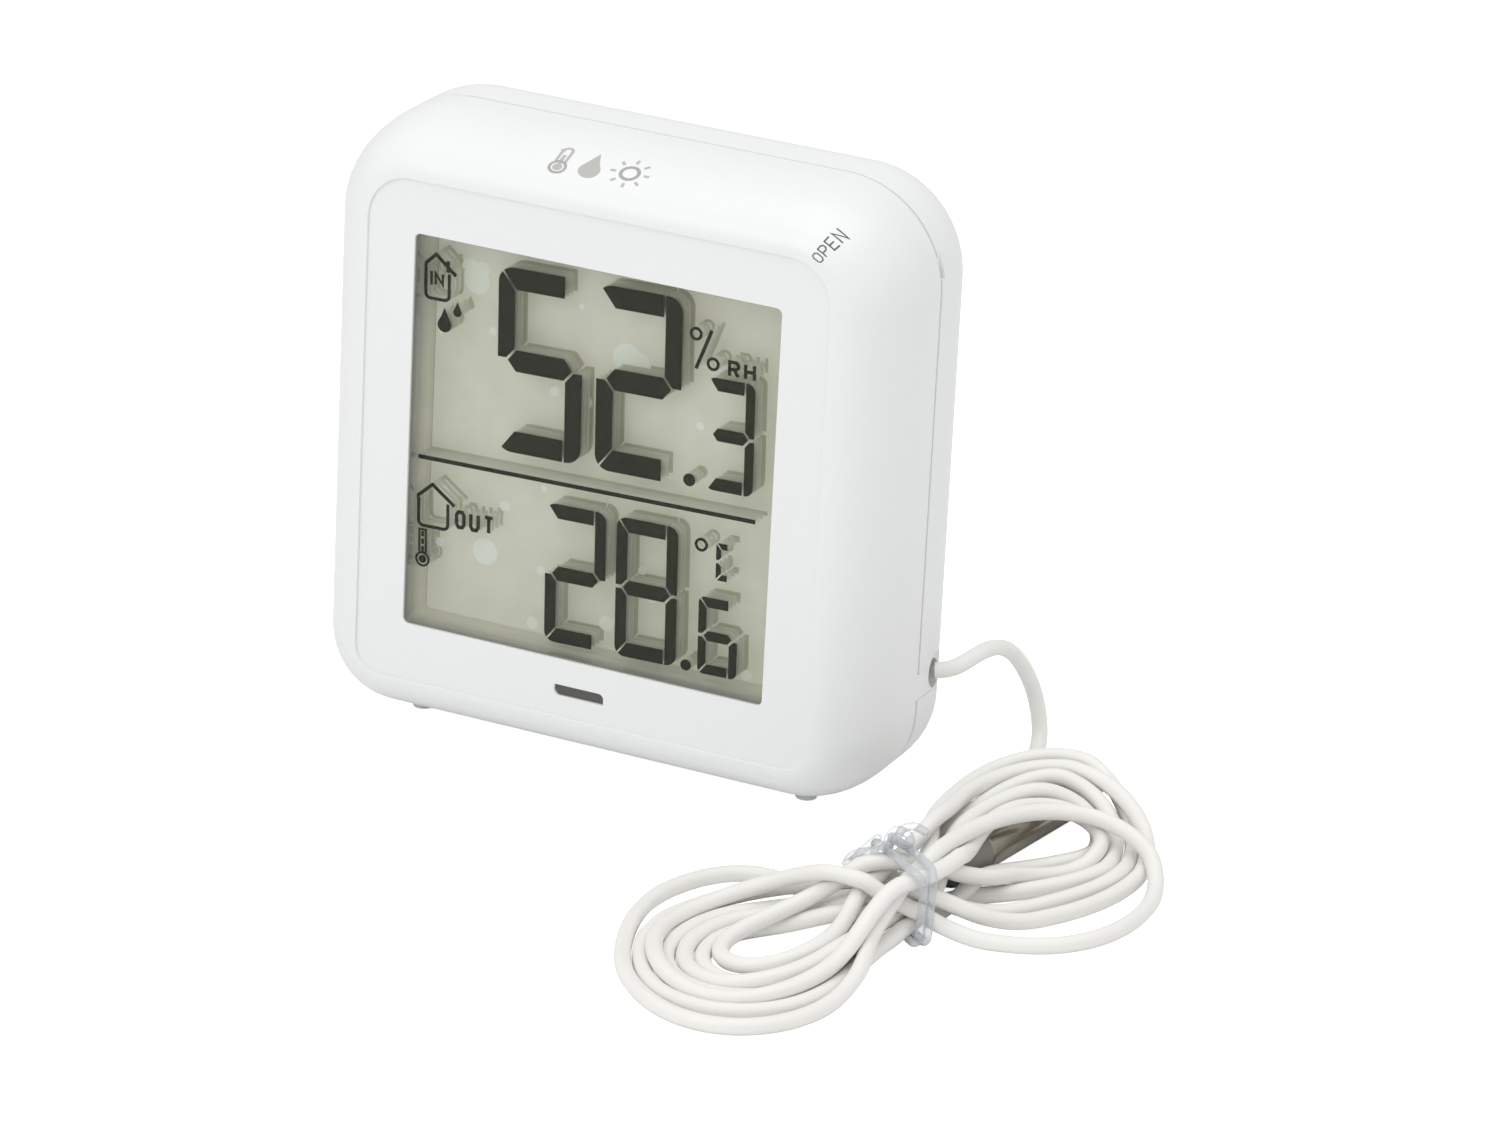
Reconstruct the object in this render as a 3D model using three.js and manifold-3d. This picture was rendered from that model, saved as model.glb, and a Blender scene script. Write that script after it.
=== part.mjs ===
// Electronic maximum-minimum thermometer with a wired outdoor probe.
// Millimetres. +X is the viewer's right, -Y the front, +Z up. The feet stand on z = 0.
import * as THREE from "three";
import { mergeVertices } from "three/addons/utils/BufferGeometryUtils.js";
import Module from "manifold-3d";

const wasm = await Module();
wasm.setup();

// ---- Driving dimensions ----
const GAP = 0.3; // between neighbouring pieces

const CASE_HALF_WIDTH = 42.5;
const CASE_DEPTH = 28.5;
const CASE_TOP = 87.4;
const FOOT_HEIGHT = 1.5;
const FOOT_RADIUS = 1.6;
const FOOT_COLUMNS = [-29.5, 29.5];
const FOOT_ROWS = { front: -2.75, rear: 8.5 };
const CORNER_TOP = 14.5;
const CORNER_BOTTOM = 12;

// The front edge curves in from the full outline to the flat panel.
const FRONT_CURVE_DEPTH = 14.2;
const INSET_SIDE = 7.9;
const INSET_TOP = 6.85;
const INSET_BOTTOM = 6.8;
const PANEL_RECESS = 0.4;

const FRONT_TO_SEAM = 17;
const BACK_CURVE_DEPTH = 7;
const BACK_INSET = 4.5;
const WALL_FRONT = 1.9;
const WALL_REAR = 1.8;
const PANEL_WALL = 1.6;

const WINDOW = { width: 54.5, height: 56, z: 44.8, corner: 0.8 };
const VENT = { width: 7.4, height: 1.5, z: 12.3, corner: 0.75 };

const CORD_RADIUS = 1.15;
const CABLE_HOLE = { y: 9, z: 17.1, radius: 1.95 };
const CABLE_DISH = { y: 9.4, z: 17.7, radius: 3.2, depth: 1 }; // shallow hollow round the hole
const CABLE = { y: 8.8, z: 17.55 }; // the cord's centre where it passes the hole

const CELL = { radius: 5.25, body: 43.5, nub: 1, nubRadius: 1.9 }; // AAA
const CELL_Y = 6.7;
const CELL_ROWS = [31.4, 42.6];

const BUTTON_COLUMNS = [-18, 0, 18];
const BUTTON_Z = 62;

const POST_X = 33;
const POST_ROWS = { low: 20, middle: 47, high: 72 };
const POST = { radius: 2.6, hole: 1.15 };

const FRONT = -CASE_DEPTH / 2;
const BACK = CASE_DEPTH / 2;
const SEAM = FRONT + FRONT_TO_SEAM;
const PANEL_FACE = FRONT + PANEL_RECESS;
const PANEL_INSIDE = PANEL_FACE + PANEL_WALL;
const BACK_INSIDE = BACK - WALL_REAR;

// Layers behind the panel, each from its front to its back.
const LENS = [PANEL_FACE + 0.25, PANEL_INSIDE];
const GLASS = [PANEL_INSIDE + GAP, PANEL_INSIDE + GAP + 1.8];
const HOLDER = [GLASS[1] + GAP, -4.4];
const REFLECTOR = [-7.4, -6.6];
const BOARD = [HOLDER[1] + GAP, -2.5];
const TRAY_FLOOR = [0, 1];
const ON_BOARD = BOARD[1] + GAP;

// ---- Materials ----
function finish(color, roughness, metalness = 0) {
  return new THREE.MeshStandardMaterial({ color, roughness, metalness });
}
const WHITE = finish(0xf1f3f2, 0.32);
const INNER_WHITE = finish(0xe6e7e3, 0.5);
const CLEAR = finish(0xdfe3da, 0.08);
const REFLECTOR_GREY = finish(0xbdbfad, 0.6);
const DARK_GREY = finish(0x5f605b, 0.7);
const BOARD_GREEN = finish(0x2f6b3c, 0.45);
const BLACK = finish(0x191a1c, 0.5);
const STEEL = finish(0xb9bcc0, 0.25, 1);
const NICKEL = finish(0xc9c6bd, 0.3, 1);
const CELL_WRAP = finish(0x3c4652, 0.35);
const CORD_WHITE = finish(0xe9e7e1, 0.5);
const TIE_CLEAR = finish(0xd5dde3, 0.15);
const SLEEVE_GREY = finish(0x8b8c86, 0.55);

// ---- Solids ----
function toSolid(shape) {
  if (!shape.isBufferGeometry) return shape;
  const bare = shape.clone();
  bare.deleteAttribute("normal");
  bare.deleteAttribute("uv");
  const merged = mergeVertices(bare, 1e-4);
  return new wasm.Manifold(
    new wasm.Mesh({
      numProp: 3,
      vertProperties: merged.attributes.position.array,
      triVerts: new Uint32Array(merged.index.array),
    }),
  );
}

function toGeometry(shape) {
  if (shape.isBufferGeometry) return shape;
  const { vertProperties, triVerts } = shape.getMesh();
  const geometry = new THREE.BufferGeometry();
  geometry.setAttribute("position", new THREE.BufferAttribute(vertProperties, 3));
  geometry.setIndex(new THREE.BufferAttribute(triVerts, 1));
  geometry.computeVertexNormals();
  return geometry;
}

const join = (...shapes) => shapes.map(toSolid).reduce((a, b) => a.add(b));
const cut = (base, ...tools) => tools.map(toSolid).reduce((a, b) => a.subtract(b), toSolid(base));
const common = (a, b) => toSolid(a).intersect(toSolid(b));

const thermometer = new THREE.Group();

function addPiece(name, material, shape) {
  const mesh = new THREE.Mesh(toGeometry(shape), material);
  mesh.name = name;
  thermometer.add(mesh);
}

// ---- Shape helpers ----
function box([x0, x1], [y0, y1], [z0, z1]) {
  const geometry = new THREE.BoxGeometry(x1 - x0, y1 - y0, z1 - z0);
  return geometry.translate((x0 + x1) / 2, (y0 + y1) / 2, (z0 + z1) / 2);
}

const around = (centre, half) => [centre - half, centre + half];

// A rod along Y.
function rodY(x, z, radius, [y0, y1], sides = 12) {
  const geometry = new THREE.CylinderGeometry(radius, radius, y1 - y0, sides);
  return geometry.translate(x, (y0 + y1) / 2, z);
}

// A rod along X.
function rodX(y, z, radius, [x0, x1], sides = 16) {
  const geometry = new THREE.CylinderGeometry(radius, radius, x1 - x0, sides).rotateZ(Math.PI / 2);
  return geometry.translate((x0 + x1) / 2, y, z);
}

// A turned body along Y: profile pairs are (radius, y), from the axis back to the axis.
function turnedY(profile, x, z, sides = 14) {
  const points = profile.map(([radius, y]) => new THREE.Vector2(radius, y));
  return new THREE.LatheGeometry(points, sides).translate(x, 0, z);
}

// A flat plate with its outline in the XZ plane.
function plateY(shape, [y0, y1], curveSegments = 5) {
  const options = { depth: y1 - y0, bevelEnabled: false, curveSegments };
  return new THREE.ExtrudeGeometry(shape, options).rotateX(Math.PI / 2).translate(0, y1, 0);
}

// A rectangle with each corner's own radius: top left, top right, bottom right, bottom left.
function rectangle(cx, cz, width, height, [tl, tr, br, bl]) {
  const [x0, x1] = around(cx, width / 2);
  const [z0, z1] = around(cz, height / 2);
  const shape = new THREE.Shape();
  shape.moveTo(x0 + bl, z0);
  shape.lineTo(x1 - br, z0);
  if (br) shape.absarc(x1 - br, z0 + br, br, -Math.PI / 2, 0);
  shape.lineTo(x1, z1 - tr);
  if (tr) shape.absarc(x1 - tr, z1 - tr, tr, 0, Math.PI / 2);
  shape.lineTo(x0 + tl, z1);
  if (tl) shape.absarc(x0 + tl, z1 - tl, tl, Math.PI / 2, Math.PI);
  shape.lineTo(x0, z0 + bl);
  if (bl) shape.absarc(x0 + bl, z0 + bl, bl, Math.PI, 1.5 * Math.PI);
  return shape;
}

// ---- The case's outer form ----
const CORNER_STEPS = 7;

// The case outline at one depth. shrink is 0 at the full outline and 1 at the panel's edge.
// wall insets the outline evenly.
function caseRing(y, shrink, wall) {
  const side = CASE_HALF_WIDTH - INSET_SIDE * shrink - wall;
  const top = CASE_TOP - INSET_TOP * shrink - wall;
  const bottom = FOOT_HEIGHT + INSET_BOTTOM * shrink + wall;
  const corners = [CORNER_TOP, CORNER_TOP, CORNER_BOTTOM, CORNER_BOTTOM];
  const radii = corners.map((r) => r - INSET_SIDE * shrink - wall);
  return radii.flatMap((r, corner) => {
    const x = (corner === 0 || corner === 3 ? 1 : -1) * (side - r);
    const z = corner < 2 ? top - r : bottom + r;
    return Array.from({ length: CORNER_STEPS + 1 }, (_, i) => {
      const angle = (corner + i / CORNER_STEPS) * (Math.PI / 2);
      return new THREE.Vector3(x + r * Math.cos(angle), y, z + r * Math.sin(angle));
    });
  });
}

// A closed skin over rings of equal length, which run from front to back.
function loft(rings) {
  const count = rings[0].length;
  const positions = rings.flat().flatMap((p) => [p.x, p.y, p.z]);
  const index = [];
  for (let k = 0; k + 1 < rings.length; k++) {
    for (let i = 0; i < count; i++) {
      const a = k * count + i;
      const b = k * count + ((i + 1) % count);
      index.push(a, a + count, b, b, a + count, b + count);
    }
  }
  const last = (rings.length - 1) * count;
  for (let i = 1; i + 1 < count; i++) {
    index.push(0, i, i + 1);
    index.push(last, last + i + 1, last + i);
  }
  const geometry = new THREE.BufferGeometry();
  geometry.setAttribute("position", new THREE.Float32BufferAttribute(positions, 3));
  geometry.setIndex(index);
  return geometry;
}

// How far the outline has shrunk at depth y.
function shrinkAt(y) {
  const intoFront = 1 - (y - FRONT) / FRONT_CURVE_DEPTH;
  if (intoFront > 0) return 1 - Math.sqrt(1 - intoFront ** 2);
  const intoBack = 1 - (BACK - y) / BACK_CURVE_DEPTH;
  if (intoBack > 0) return (BACK_INSET / INSET_SIDE) * (1 - Math.sqrt(1 - intoBack ** 2));
  return 0;
}

// Depths along a quarter ellipse that is steep at its near end.
function curveDepths(start, depth, steps) {
  const angles = Array.from({ length: steps + 1 }, (_, i) => (i / steps) * (Math.PI / 2));
  return angles.map((angle) => start + depth * (1 - Math.cos(angle)));
}

const caseLoft = (depths, wall) => loft(depths.map((y) => caseRing(y, shrinkAt(y), wall)));

const FRONT_DEPTHS = curveDepths(FRONT, FRONT_CURVE_DEPTH, 7);
const BACK_DEPTHS = curveDepths(BACK, -BACK_CURVE_DEPTH, 6).reverse();

// ---- Front housing ----
const NOTCH_HALF = CABLE_HOLE.radius;
const SIDE_BORE = [36, 46]; // through the right side wall
const COVER_BORE = WALL_REAR + 0.4; // the rim runs inside this inset of the outline
const RIM_INSIDE = COVER_BORE + 1;

// The rim that the rear cover slides over.
function coverRim() {
  const root = caseLoft([SEAM - 3.5, SEAM - 0.4], WALL_FRONT - 0.4);
  const rim = caseLoft([SEAM - 3.5, SEAM + 2.4], COVER_BORE);
  return cut(join(root, rim), caseLoft([SEAM - 4, SEAM + 3], RIM_INSIDE));
}

// The tongue that closes the rear cover's cable notch up to the hole.
function cableTongue() {
  const hollow = caseLoft([SEAM - 2, CABLE_HOLE.y + 1], RIM_INSIDE);
  const skin = cut(caseLoft([SEAM - 1, CABLE_HOLE.y], 0), hollow);
  const strip = box([38, 44], [SEAM - 1, CABLE_HOLE.y], around(CABLE_HOLE.z, NOTCH_HALF - GAP));
  return cut(common(skin, strip), rodX(CABLE_HOLE.y, CABLE_HOLE.z, CABLE_HOLE.radius + GAP, SIDE_BORE));
}

// A ball that leaves the hollow round the cable hole.
function dishBall() {
  const { y, z, radius, depth } = CABLE_DISH;
  const ball = (radius ** 2 + depth ** 2) / (2 * depth);
  return new THREE.SphereGeometry(ball, 32, 20).translate(CASE_HALF_WIDTH - depth + ball, y, z);
}

function foot(x, y, top) {
  const geometry = new THREE.CylinderGeometry(FOOT_RADIUS, FOOT_RADIUS, top, 12).rotateX(Math.PI / 2);
  return geometry.translate(x, y, top / 2);
}

const postRows = Object.values(POST_ROWS);
const postPlaces = postRows.flatMap((z) => [-POST_X, POST_X].map((x) => [x, z]));

function ventShape() {
  return rectangle(0, VENT.z, VENT.width, VENT.height, [0, VENT.corner, 0, VENT.corner]);
}

function makeFrontHousing() {
  const outer = caseLoft([...FRONT_DEPTHS, SEAM], 0);
  const innerDepths = [PANEL_INSIDE, -10.5, -8, -4, SEAM + 1];
  const shell = cut(outer, caseLoft(innerDepths, WALL_FRONT));
  const flat = loft([caseRing(FRONT - 1, 1, 0.3), caseRing(PANEL_FACE, 1, 0.3)]);
  const through = [FRONT - 1, PANEL_INSIDE + 1];
  const corners = Array(4).fill(WINDOW.corner);
  const opening = plateY(rectangle(0, WINDOW.z, WINDOW.width, WINDOW.height, corners), through);
  const vent = plateY(ventShape(), through);
  const postSpan = [PANEL_INSIDE - 0.8, HOLDER[1]];
  const posts = postPlaces.map(([x, z]) => rodY(x, z, POST.radius, postSpan, 14));
  const holeSpan = [PANEL_INSIDE + 1.4, HOLDER[1] + 1];
  const holes = postPlaces.map(([x, z]) => rodY(x, z, POST.hole, holeSpan, 12));
  const feet = FOOT_COLUMNS.map((x) => foot(x, FOOT_ROWS.front, FOOT_HEIGHT + 1));
  const body = join(shell, coverRim(), cableTongue(), ...posts, ...feet);
  return cut(body, flat, opening, vent, dishBall(), ...holes);
}

// ---- Rear cover: a lid that pulls off towards the back ----
function makeRearCover() {
  const outer = caseLoft([SEAM + GAP, ...BACK_DEPTHS], 0);
  const inner = caseLoft([SEAM - 1, BACK - BACK_CURVE_DEPTH, 9.5, 11.3, BACK_INSIDE], WALL_REAR);
  const feet = FOOT_COLUMNS.map((x) => foot(x, FOOT_ROWS.rear, FOOT_HEIGHT + 1));
  const through = [BACK_INSIDE - 1, BACK + 1];
  const buttonHoles = BUTTON_COLUMNS.map((x) =>
    plateY(rectangle(x, BUTTON_Z, 10.8, 5.8, Array(4).fill(2.2)), through, 3),
  );
  const airSlots = [-12, -6, 0, 6, 12].map((x) =>
    plateY(rectangle(x, 15, 1.5, 9, Array(4).fill(0.74)), through, 2),
  );
  const cableNotch = box(SIDE_BORE, [SEAM - 1, CABLE_HOLE.y], around(CABLE_HOLE.z, NOTCH_HALF));
  const cableHole = rodX(CABLE_HOLE.y, CABLE_HOLE.z, CABLE_HOLE.radius, SIDE_BORE);
  const pryNotch = box([41.4, 44], [SEAM - 1, SEAM + 1.1], [75, 78.4]);
  const shell = join(cut(outer, inner), ...feet);
  return cut(shell, cableNotch, cableHole, pryNotch, dishBall(), ...buttonHoles, ...airSlots);
}

addPiece("front_housing", WHITE, makeFrontHousing());
addPiece("rear_cover", WHITE, makeRearCover());

// ---- Display ----
const GLASS_X = around(0, 29);
const GLASS_Z = [14.9, 78];
const OPENING_X = around(0, 27.4);
const OPENING_Z = [16.6, 73];
const ZEBRA_X = around(0, 26.5);
const ZEBRA_Z = [75.2, 77.7];

const shrinkRange = ([low, high], by) => [low + by, high - by];

function makeHolder() {
  const frame = box(around(0, 30), HOLDER, [15.2, 79.5]);
  const through = [HOLDER[0] - 1, HOLDER[1] + 1];
  return cut(frame, box(OPENING_X, through, OPENING_Z), box(ZEBRA_X, through, ZEBRA_Z));
}

const lensSize = [WINDOW.width - 2 * GAP, WINDOW.height - 2 * GAP];
const lensShape = rectangle(0, WINDOW.z, ...lensSize, Array(4).fill(WINDOW.corner - GAP));
const reflectorShape = [shrinkRange(OPENING_X, GAP), REFLECTOR, shrinkRange(OPENING_Z, GAP)];
addPiece("display_window", CLEAR, plateY(lensShape, LENS));
addPiece("lcd_glass", CLEAR, box(GLASS_X, GLASS, GLASS_Z));
addPiece("lcd_holder", INNER_WHITE, makeHolder());
addPiece("lcd_reflector", REFLECTOR_GREY, box(...reflectorShape));
addPiece("zebra_strip", BLACK, box(shrinkRange(ZEBRA_X, GAP), HOLDER, shrinkRange(ZEBRA_Z, GAP)));
addPiece("vent_insert", DARK_GREY, box(around(0, 5.5), [GLASS[0], GLASS[0] + 0.8], [10, 14.3]));

// ---- Main board and what is soldered to it ----
const BOARD_Z = [13, 79];

function makeBoard() {
  const holes = postPlaces.map(([x, z]) => rodY(x, z, POST.hole, [BOARD[0] - 1, BOARD[1] + 1]));
  return cut(box(around(0, 36.5), BOARD, BOARD_Z), ...holes);
}

// A sensing element on straight leads that reach the front of the board.
function leadedSensor(x, body, legSpan, legZ) {
  const legs = [-legSpan, legSpan].map((dx) => rodY(x + dx, legZ, 0.3, [-9.4, HOLDER[1]], 6));
  return join(body, ...legs);
}

function makeChip() {
  const top = ON_BOARD + 1.3;
  return turnedY([[0, ON_BOARD], [4.2, ON_BOARD], [3.9, top - 0.6], [2.6, top - 0.1], [0, top]], 0, 74, 16);
}

addPiece("main_board", BOARD_GREEN, makeBoard());
addPiece("chip_blob", BLACK, makeChip());
addPiece("quartz_crystal", STEEL, rodX(ON_BOARD + 1.05, 74.5, 1, [10, 16], 12));
addPiece("capacitor", BLACK, rodY(-14, 74, 2.2, [ON_BOARD, ON_BOARD + 5], 16));
const humidityBody = box(around(0, 4.2), [-10.5, -9], [6.5, 14.6]);
addPiece("humidity_sensor", INNER_WHITE, leadedSensor(0, humidityBody, 1.3, 14.1));
const beadBody = new THREE.SphereGeometry(1.4, 10, 8).translate(12, -9.8, 13);
addPiece("indoor_thermistor", BLACK, leadedSensor(12, beadBody, 0.7, 13.9));

// ---- Buttons, each over its switch ----
const BUTTON_NAMES = ["max_min", "reset", "unit"];
const SWITCH_TOP = ON_BOARD + 3.5;
const PLUNGER_TOP = SWITCH_TOP + 1;
const CAP_END = BACK - 0.3;
const GUIDE = [6, 7.4]; // the tray's shelf that the stems pass

function makeSwitch(x) {
  const body = box(around(x, 3), [ON_BOARD, SWITCH_TOP], around(BUTTON_Z, 3));
  return cut(body, rodY(x, BUTTON_Z, 2, [SWITCH_TOP - 1.8, SWITCH_TOP + 1]));
}

function makeCap(x) {
  const corners = Array(4).fill(2);
  const head = plateY(rectangle(x, BUTTON_Z, 10.2, 5.2, corners), [10.9, CAP_END], 3);
  const collar = plateY(rectangle(x, BUTTON_Z, 12.6, 7.6, Array(4).fill(2.4)), [10.6, BACK_INSIDE - 0.35], 3);
  const stem = rodY(x, BUTTON_Z, 1.5, [PLUNGER_TOP + GAP, 11]);
  return join(head, collar, stem);
}

BUTTON_COLUMNS.forEach((x, i) => {
  addPiece(`tact_switch_${i + 1}`, BLACK, makeSwitch(x));
  addPiece(`tact_plunger_${i + 1}`, STEEL, rodY(x, BUTTON_Z, 1.6, [SWITCH_TOP - 1, PLUNGER_TOP]));
  addPiece(`button_${BUTTON_NAMES[i]}`, WHITE, makeCap(x));
});

// ---- Battery tray, cells and contacts ----
const BAY_X = around(0, 26.2);
const BAY_Z = [25.5, 48.5];
const BAY_WALL = 1.3;
const CRADLE_X = [35.3, 38.9];
const CLAMP_SCREW = { x: (CRADLE_X[0] + CRADLE_X[1]) / 2, z: 22 };

function makeTray() {
  const growX = shrinkRange(BAY_X, -BAY_WALL);
  const growZ = shrinkRange(BAY_Z, -BAY_WALL);
  const bay = cut(box(growX, [0, 9], growZ), box(BAY_X, [TRAY_FLOOR[1], 10], BAY_Z));
  const base = box(around(0, 35.5), TRAY_FLOOR, [24, 50]);
  const tabs = [-1, 1].map((side) => box(around(side * 33.2, 2.9), TRAY_FLOOR, [17.2, 24.5]));
  const cradle = box(CRADLE_X, [TRAY_FLOOR[0], 8.2], [14, 24.5]);
  const trayPosts = [POST_ROWS.low, POST_ROWS.middle].flatMap((z) => [-POST_X, POST_X].map((x) => [x, z]));
  const feet = trayPosts.map(([x, z]) => rodY(x, z, 2.8, [BOARD[1] + GAP, TRAY_FLOOR[1]]));
  const shelf = box(around(0, 25), GUIDE, [BAY_Z[1], 67]);
  const stemHoles = BUTTON_COLUMNS.map((x) => rodY(x, BUTTON_Z, 1.9, [GUIDE[0] - 1, GUIDE[1] + 1]));
  const screwHoles = trayPosts.map(([x, z]) => rodY(x, z, POST.hole, [BOARD[1] - 1, TRAY_FLOOR[1] + 1]));
  const groove = rodX(CABLE.y, CABLE.z, CORD_RADIUS + GAP, [34, 40], 12);
  const clampHole = rodY(CLAMP_SCREW.x, CLAMP_SCREW.z, 1.1, [1.5, 9]);
  const solid = join(bay, base, ...tabs, cradle, ...feet, shelf);
  return cut(solid, ...stemHoles, ...screwHoles, groove, clampHole);
}

function makeClamp() {
  const bar = box(CRADLE_X, [8.5, 10.8], [14.3, 24.2]);
  const groove = rodX(CABLE.y, CABLE.z, CORD_RADIUS + GAP, [34, 40], 12);
  return cut(bar, groove, rodY(CLAMP_SCREW.x, CLAMP_SCREW.z, 1.1, [8, 12]));
}

// A pan-head screw pointing to the front, its head resting at seat.
function screw(x, z, seat, tip, shank = 0.8, head = 1.9) {
  const top = seat + 1.3;
  const threaded = [[0, tip], [shank, tip + 0.8], [shank, seat]];
  const pan = [[head, seat], [head, top - 0.5], [head - 0.6, top], [0, top]];
  return turnedY([...threaded, ...pan], x, z);
}

// An AAA cell along X with its nub towards +X or -X.
function cell(z, direction, nubTip) {
  const shoulder = nubTip - direction * CELL.nub;
  const end = shoulder - direction * CELL.body;
  const profile = [[0, 0], [CELL.radius - 0.4, 0], [CELL.radius, 0.4], [CELL.radius, CELL.body - 0.4]];
  profile.push([CELL.radius - 0.4, CELL.body], [CELL.nubRadius, CELL.body]);
  profile.push([CELL.nubRadius, CELL.body + CELL.nub], [0, CELL.body + CELL.nub]);
  const points = profile.map(([radius, along]) => new THREE.Vector2(radius, along));
  const turned = new THREE.LatheGeometry(points, 20).rotateZ((-direction * Math.PI) / 2);
  return turned.translate(end, CELL_Y, z);
}

// A conical coil spring along X, wide at the contact plate.
function coilSpring(z, from, to) {
  const turns = 3;
  const wire = 0.3;
  const path = new THREE.Curve();
  path.getPoint = (t, target = new THREE.Vector3()) => {
    const angle = t * turns * 2 * Math.PI;
    const radius = 3.6 - 1.4 * t;
    const y = CELL_Y + radius * Math.cos(angle);
    return target.set(from + (to - from) * t, y, z + radius * Math.sin(angle));
  };
  const section = new THREE.Shape().absarc(0, 0, wire, 0, 2 * Math.PI);
  const options = { steps: 36, extrudePath: path, bevelEnabled: false, curveSegments: 3 };
  return new THREE.ExtrudeGeometry(section, options);
}

const PLATE_INNER = BAY_X[1] - GAP - 0.4;
const PLATE_OUTER = PLATE_INNER + 0.4;
const plateSide = (side) => (side > 0 ? [PLATE_INNER, PLATE_OUTER] : [-PLATE_OUTER, -PLATE_INNER]);
const NUB_TIP = PLATE_INNER - GAP;
const CELL_END = NUB_TIP - CELL.nub - CELL.body; // the flat end of the right-hand cell
const SPRING = [PLATE_INNER - GAP - 0.35, -CELL_END + GAP + 0.35];

addPiece("battery_tray", INNER_WHITE, makeTray());
addPiece("cable_clamp", INNER_WHITE, makeClamp());
addPiece("clamp_screw", STEEL, screw(CLAMP_SCREW.x, CLAMP_SCREW.z, 11.1, 2.2, 0.75, 1.6));
addPiece("battery_1", CELL_WRAP, cell(CELL_ROWS[0], 1, NUB_TIP));
addPiece("battery_2", CELL_WRAP, cell(CELL_ROWS[1], -1, -NUB_TIP));
addPiece("contact_spring_1", NICKEL, coilSpring(CELL_ROWS[0], -SPRING[0], -SPRING[1]));
addPiece("contact_spring_2", NICKEL, coilSpring(CELL_ROWS[1], SPRING[0], SPRING[1]));
addPiece("bridge_contact", NICKEL, box(plateSide(-1), [2, 10.5], [27, 47]));
addPiece("positive_contact", NICKEL, box(plateSide(1), [2, 10.5], around(CELL_ROWS[0], 4)));
addPiece("negative_contact", NICKEL, box(plateSide(1), [2, 10.5], around(CELL_ROWS[1], 4)));

[-POST_X, POST_X].forEach((x, i) => {
  addPiece(`board_screw_${i + 1}`, STEEL, screw(x, POST_ROWS.high, ON_BOARD, -9.5));
  addPiece(`tray_screw_${i + 1}`, STEEL, screw(x, POST_ROWS.low, TRAY_FLOOR[1] + GAP, -9.5));
  addPiece(`tray_screw_${i + 3}`, STEEL, screw(x, POST_ROWS.middle, TRAY_FLOOR[1] + GAP, -9.5));
});

// ---- Probe cord ----
const CONNECTOR_TOP = 1.8;
addPiece("cable_connector", INNER_WHITE, box([22.5, 28.5], [ON_BOARD, CONNECTOR_TOP], [14.5, 20.5]));

// From the connector, through the clamp and the hole, and over to the wound hank on the table.
const LEAD_ROUTE = [
  [25.5, CONNECTOR_TOP + GAP, 17.5],
  [25.6, 4.2, 17.5],
  [27.2, 7.1, 17.5],
  [30.6, 8.6, 17.5],
  [34.5, CABLE.y, CABLE.z],
  [38.5, CABLE.y, CABLE.z],
  [42.4, CABLE.y, CABLE.z],
  [44.3, 9.6, 17.9],
  [45.5, 12.2, 18.5],
  [46.2, 15.8, 18.8],
  [46.7, 19.6, 18.2],
  [47.2, 23.1, 16.4],
  [47.8, 26.2, 13.3],
  [48.5, 28.4, 9.6],
  [49.2, 29.3, 5.9],
  [49.9, 28.7, 2.9],
  [50.6, 26.4, 1.25],
];

function cordTube(route) {
  const path = new THREE.CatmullRomCurve3(route.map((p) => new THREE.Vector3(...p)));
  const section = new THREE.Shape().absarc(0, 0, CORD_RADIUS, 0, 2 * Math.PI);
  const steps = Math.ceil(path.getLength() / (2 * CORD_RADIUS));
  const options = { steps, extrudePath: path, bevelEnabled: false, curveSegments: 4 };
  return new THREE.ExtrudeGeometry(section, options);
}

// The hank lies in two loops, left and right of the tie.
const HANK_HEIGHT = 9.4;
const LOOPS = [
  { x: 44, y: -52, long: 29, short: 18, angle: (-68 * Math.PI) / 180 },
  { x: 68, y: -5, long: 31, short: 18, angle: (118 * Math.PI) / 180 },
];
const TIE = { x: 58.3, y: -34.8, angle: (48 * Math.PI) / 180, across: 7, thick: 1.2, wide: 4 };
const PROBE = {
  x: 58.3,
  y: -21.6,
  z: 3.2,
  angle: (82.7 * Math.PI) / 180,
  radius: 3,
  sleeve: 8,
  length: 38,
};

// Turns a piece made along +X at the origin to its heading on the table.
const onTable = (geometry, { x, y, angle }) => geometry.rotateZ(angle).translate(x, y, 0);

function makeHank() {
  const loops = LOOPS.map(({ x, y, long, short, angle }) => {
    const outline = new THREE.Shape().absellipse(x, y, long, short, 0, 2 * Math.PI, false, angle);
    return new THREE.ExtrudeGeometry(outline, { depth: HANK_HEIGHT, bevelEnabled: false, curveSegments: 20 });
  });
  const reach = 16;
  const waist = onTable(box([-reach, reach], around(0, 10), [0, HANK_HEIGHT]), TIE);
  const groove = box(around(0, TIE.wide / 2 + GAP), around(0, 40), [-1, HANK_HEIGHT + 1]);
  const core = box(around(0, TIE.wide), around(0, TIE.across), [TIE.thick + GAP, HANK_HEIGHT - 0.2]);
  const tieGroove = onTable(toGeometry(cut(groove, core)), TIE);
  const pocketSpan = [-2 * GAP, PROBE.length + 2];
  const pocket = box(pocketSpan, around(0, PROBE.radius + 0.6), [-1, HANK_HEIGHT + 1]);
  return cut(join(...loops, waist), tieGroove, onTable(pocket, PROBE));
}

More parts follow.
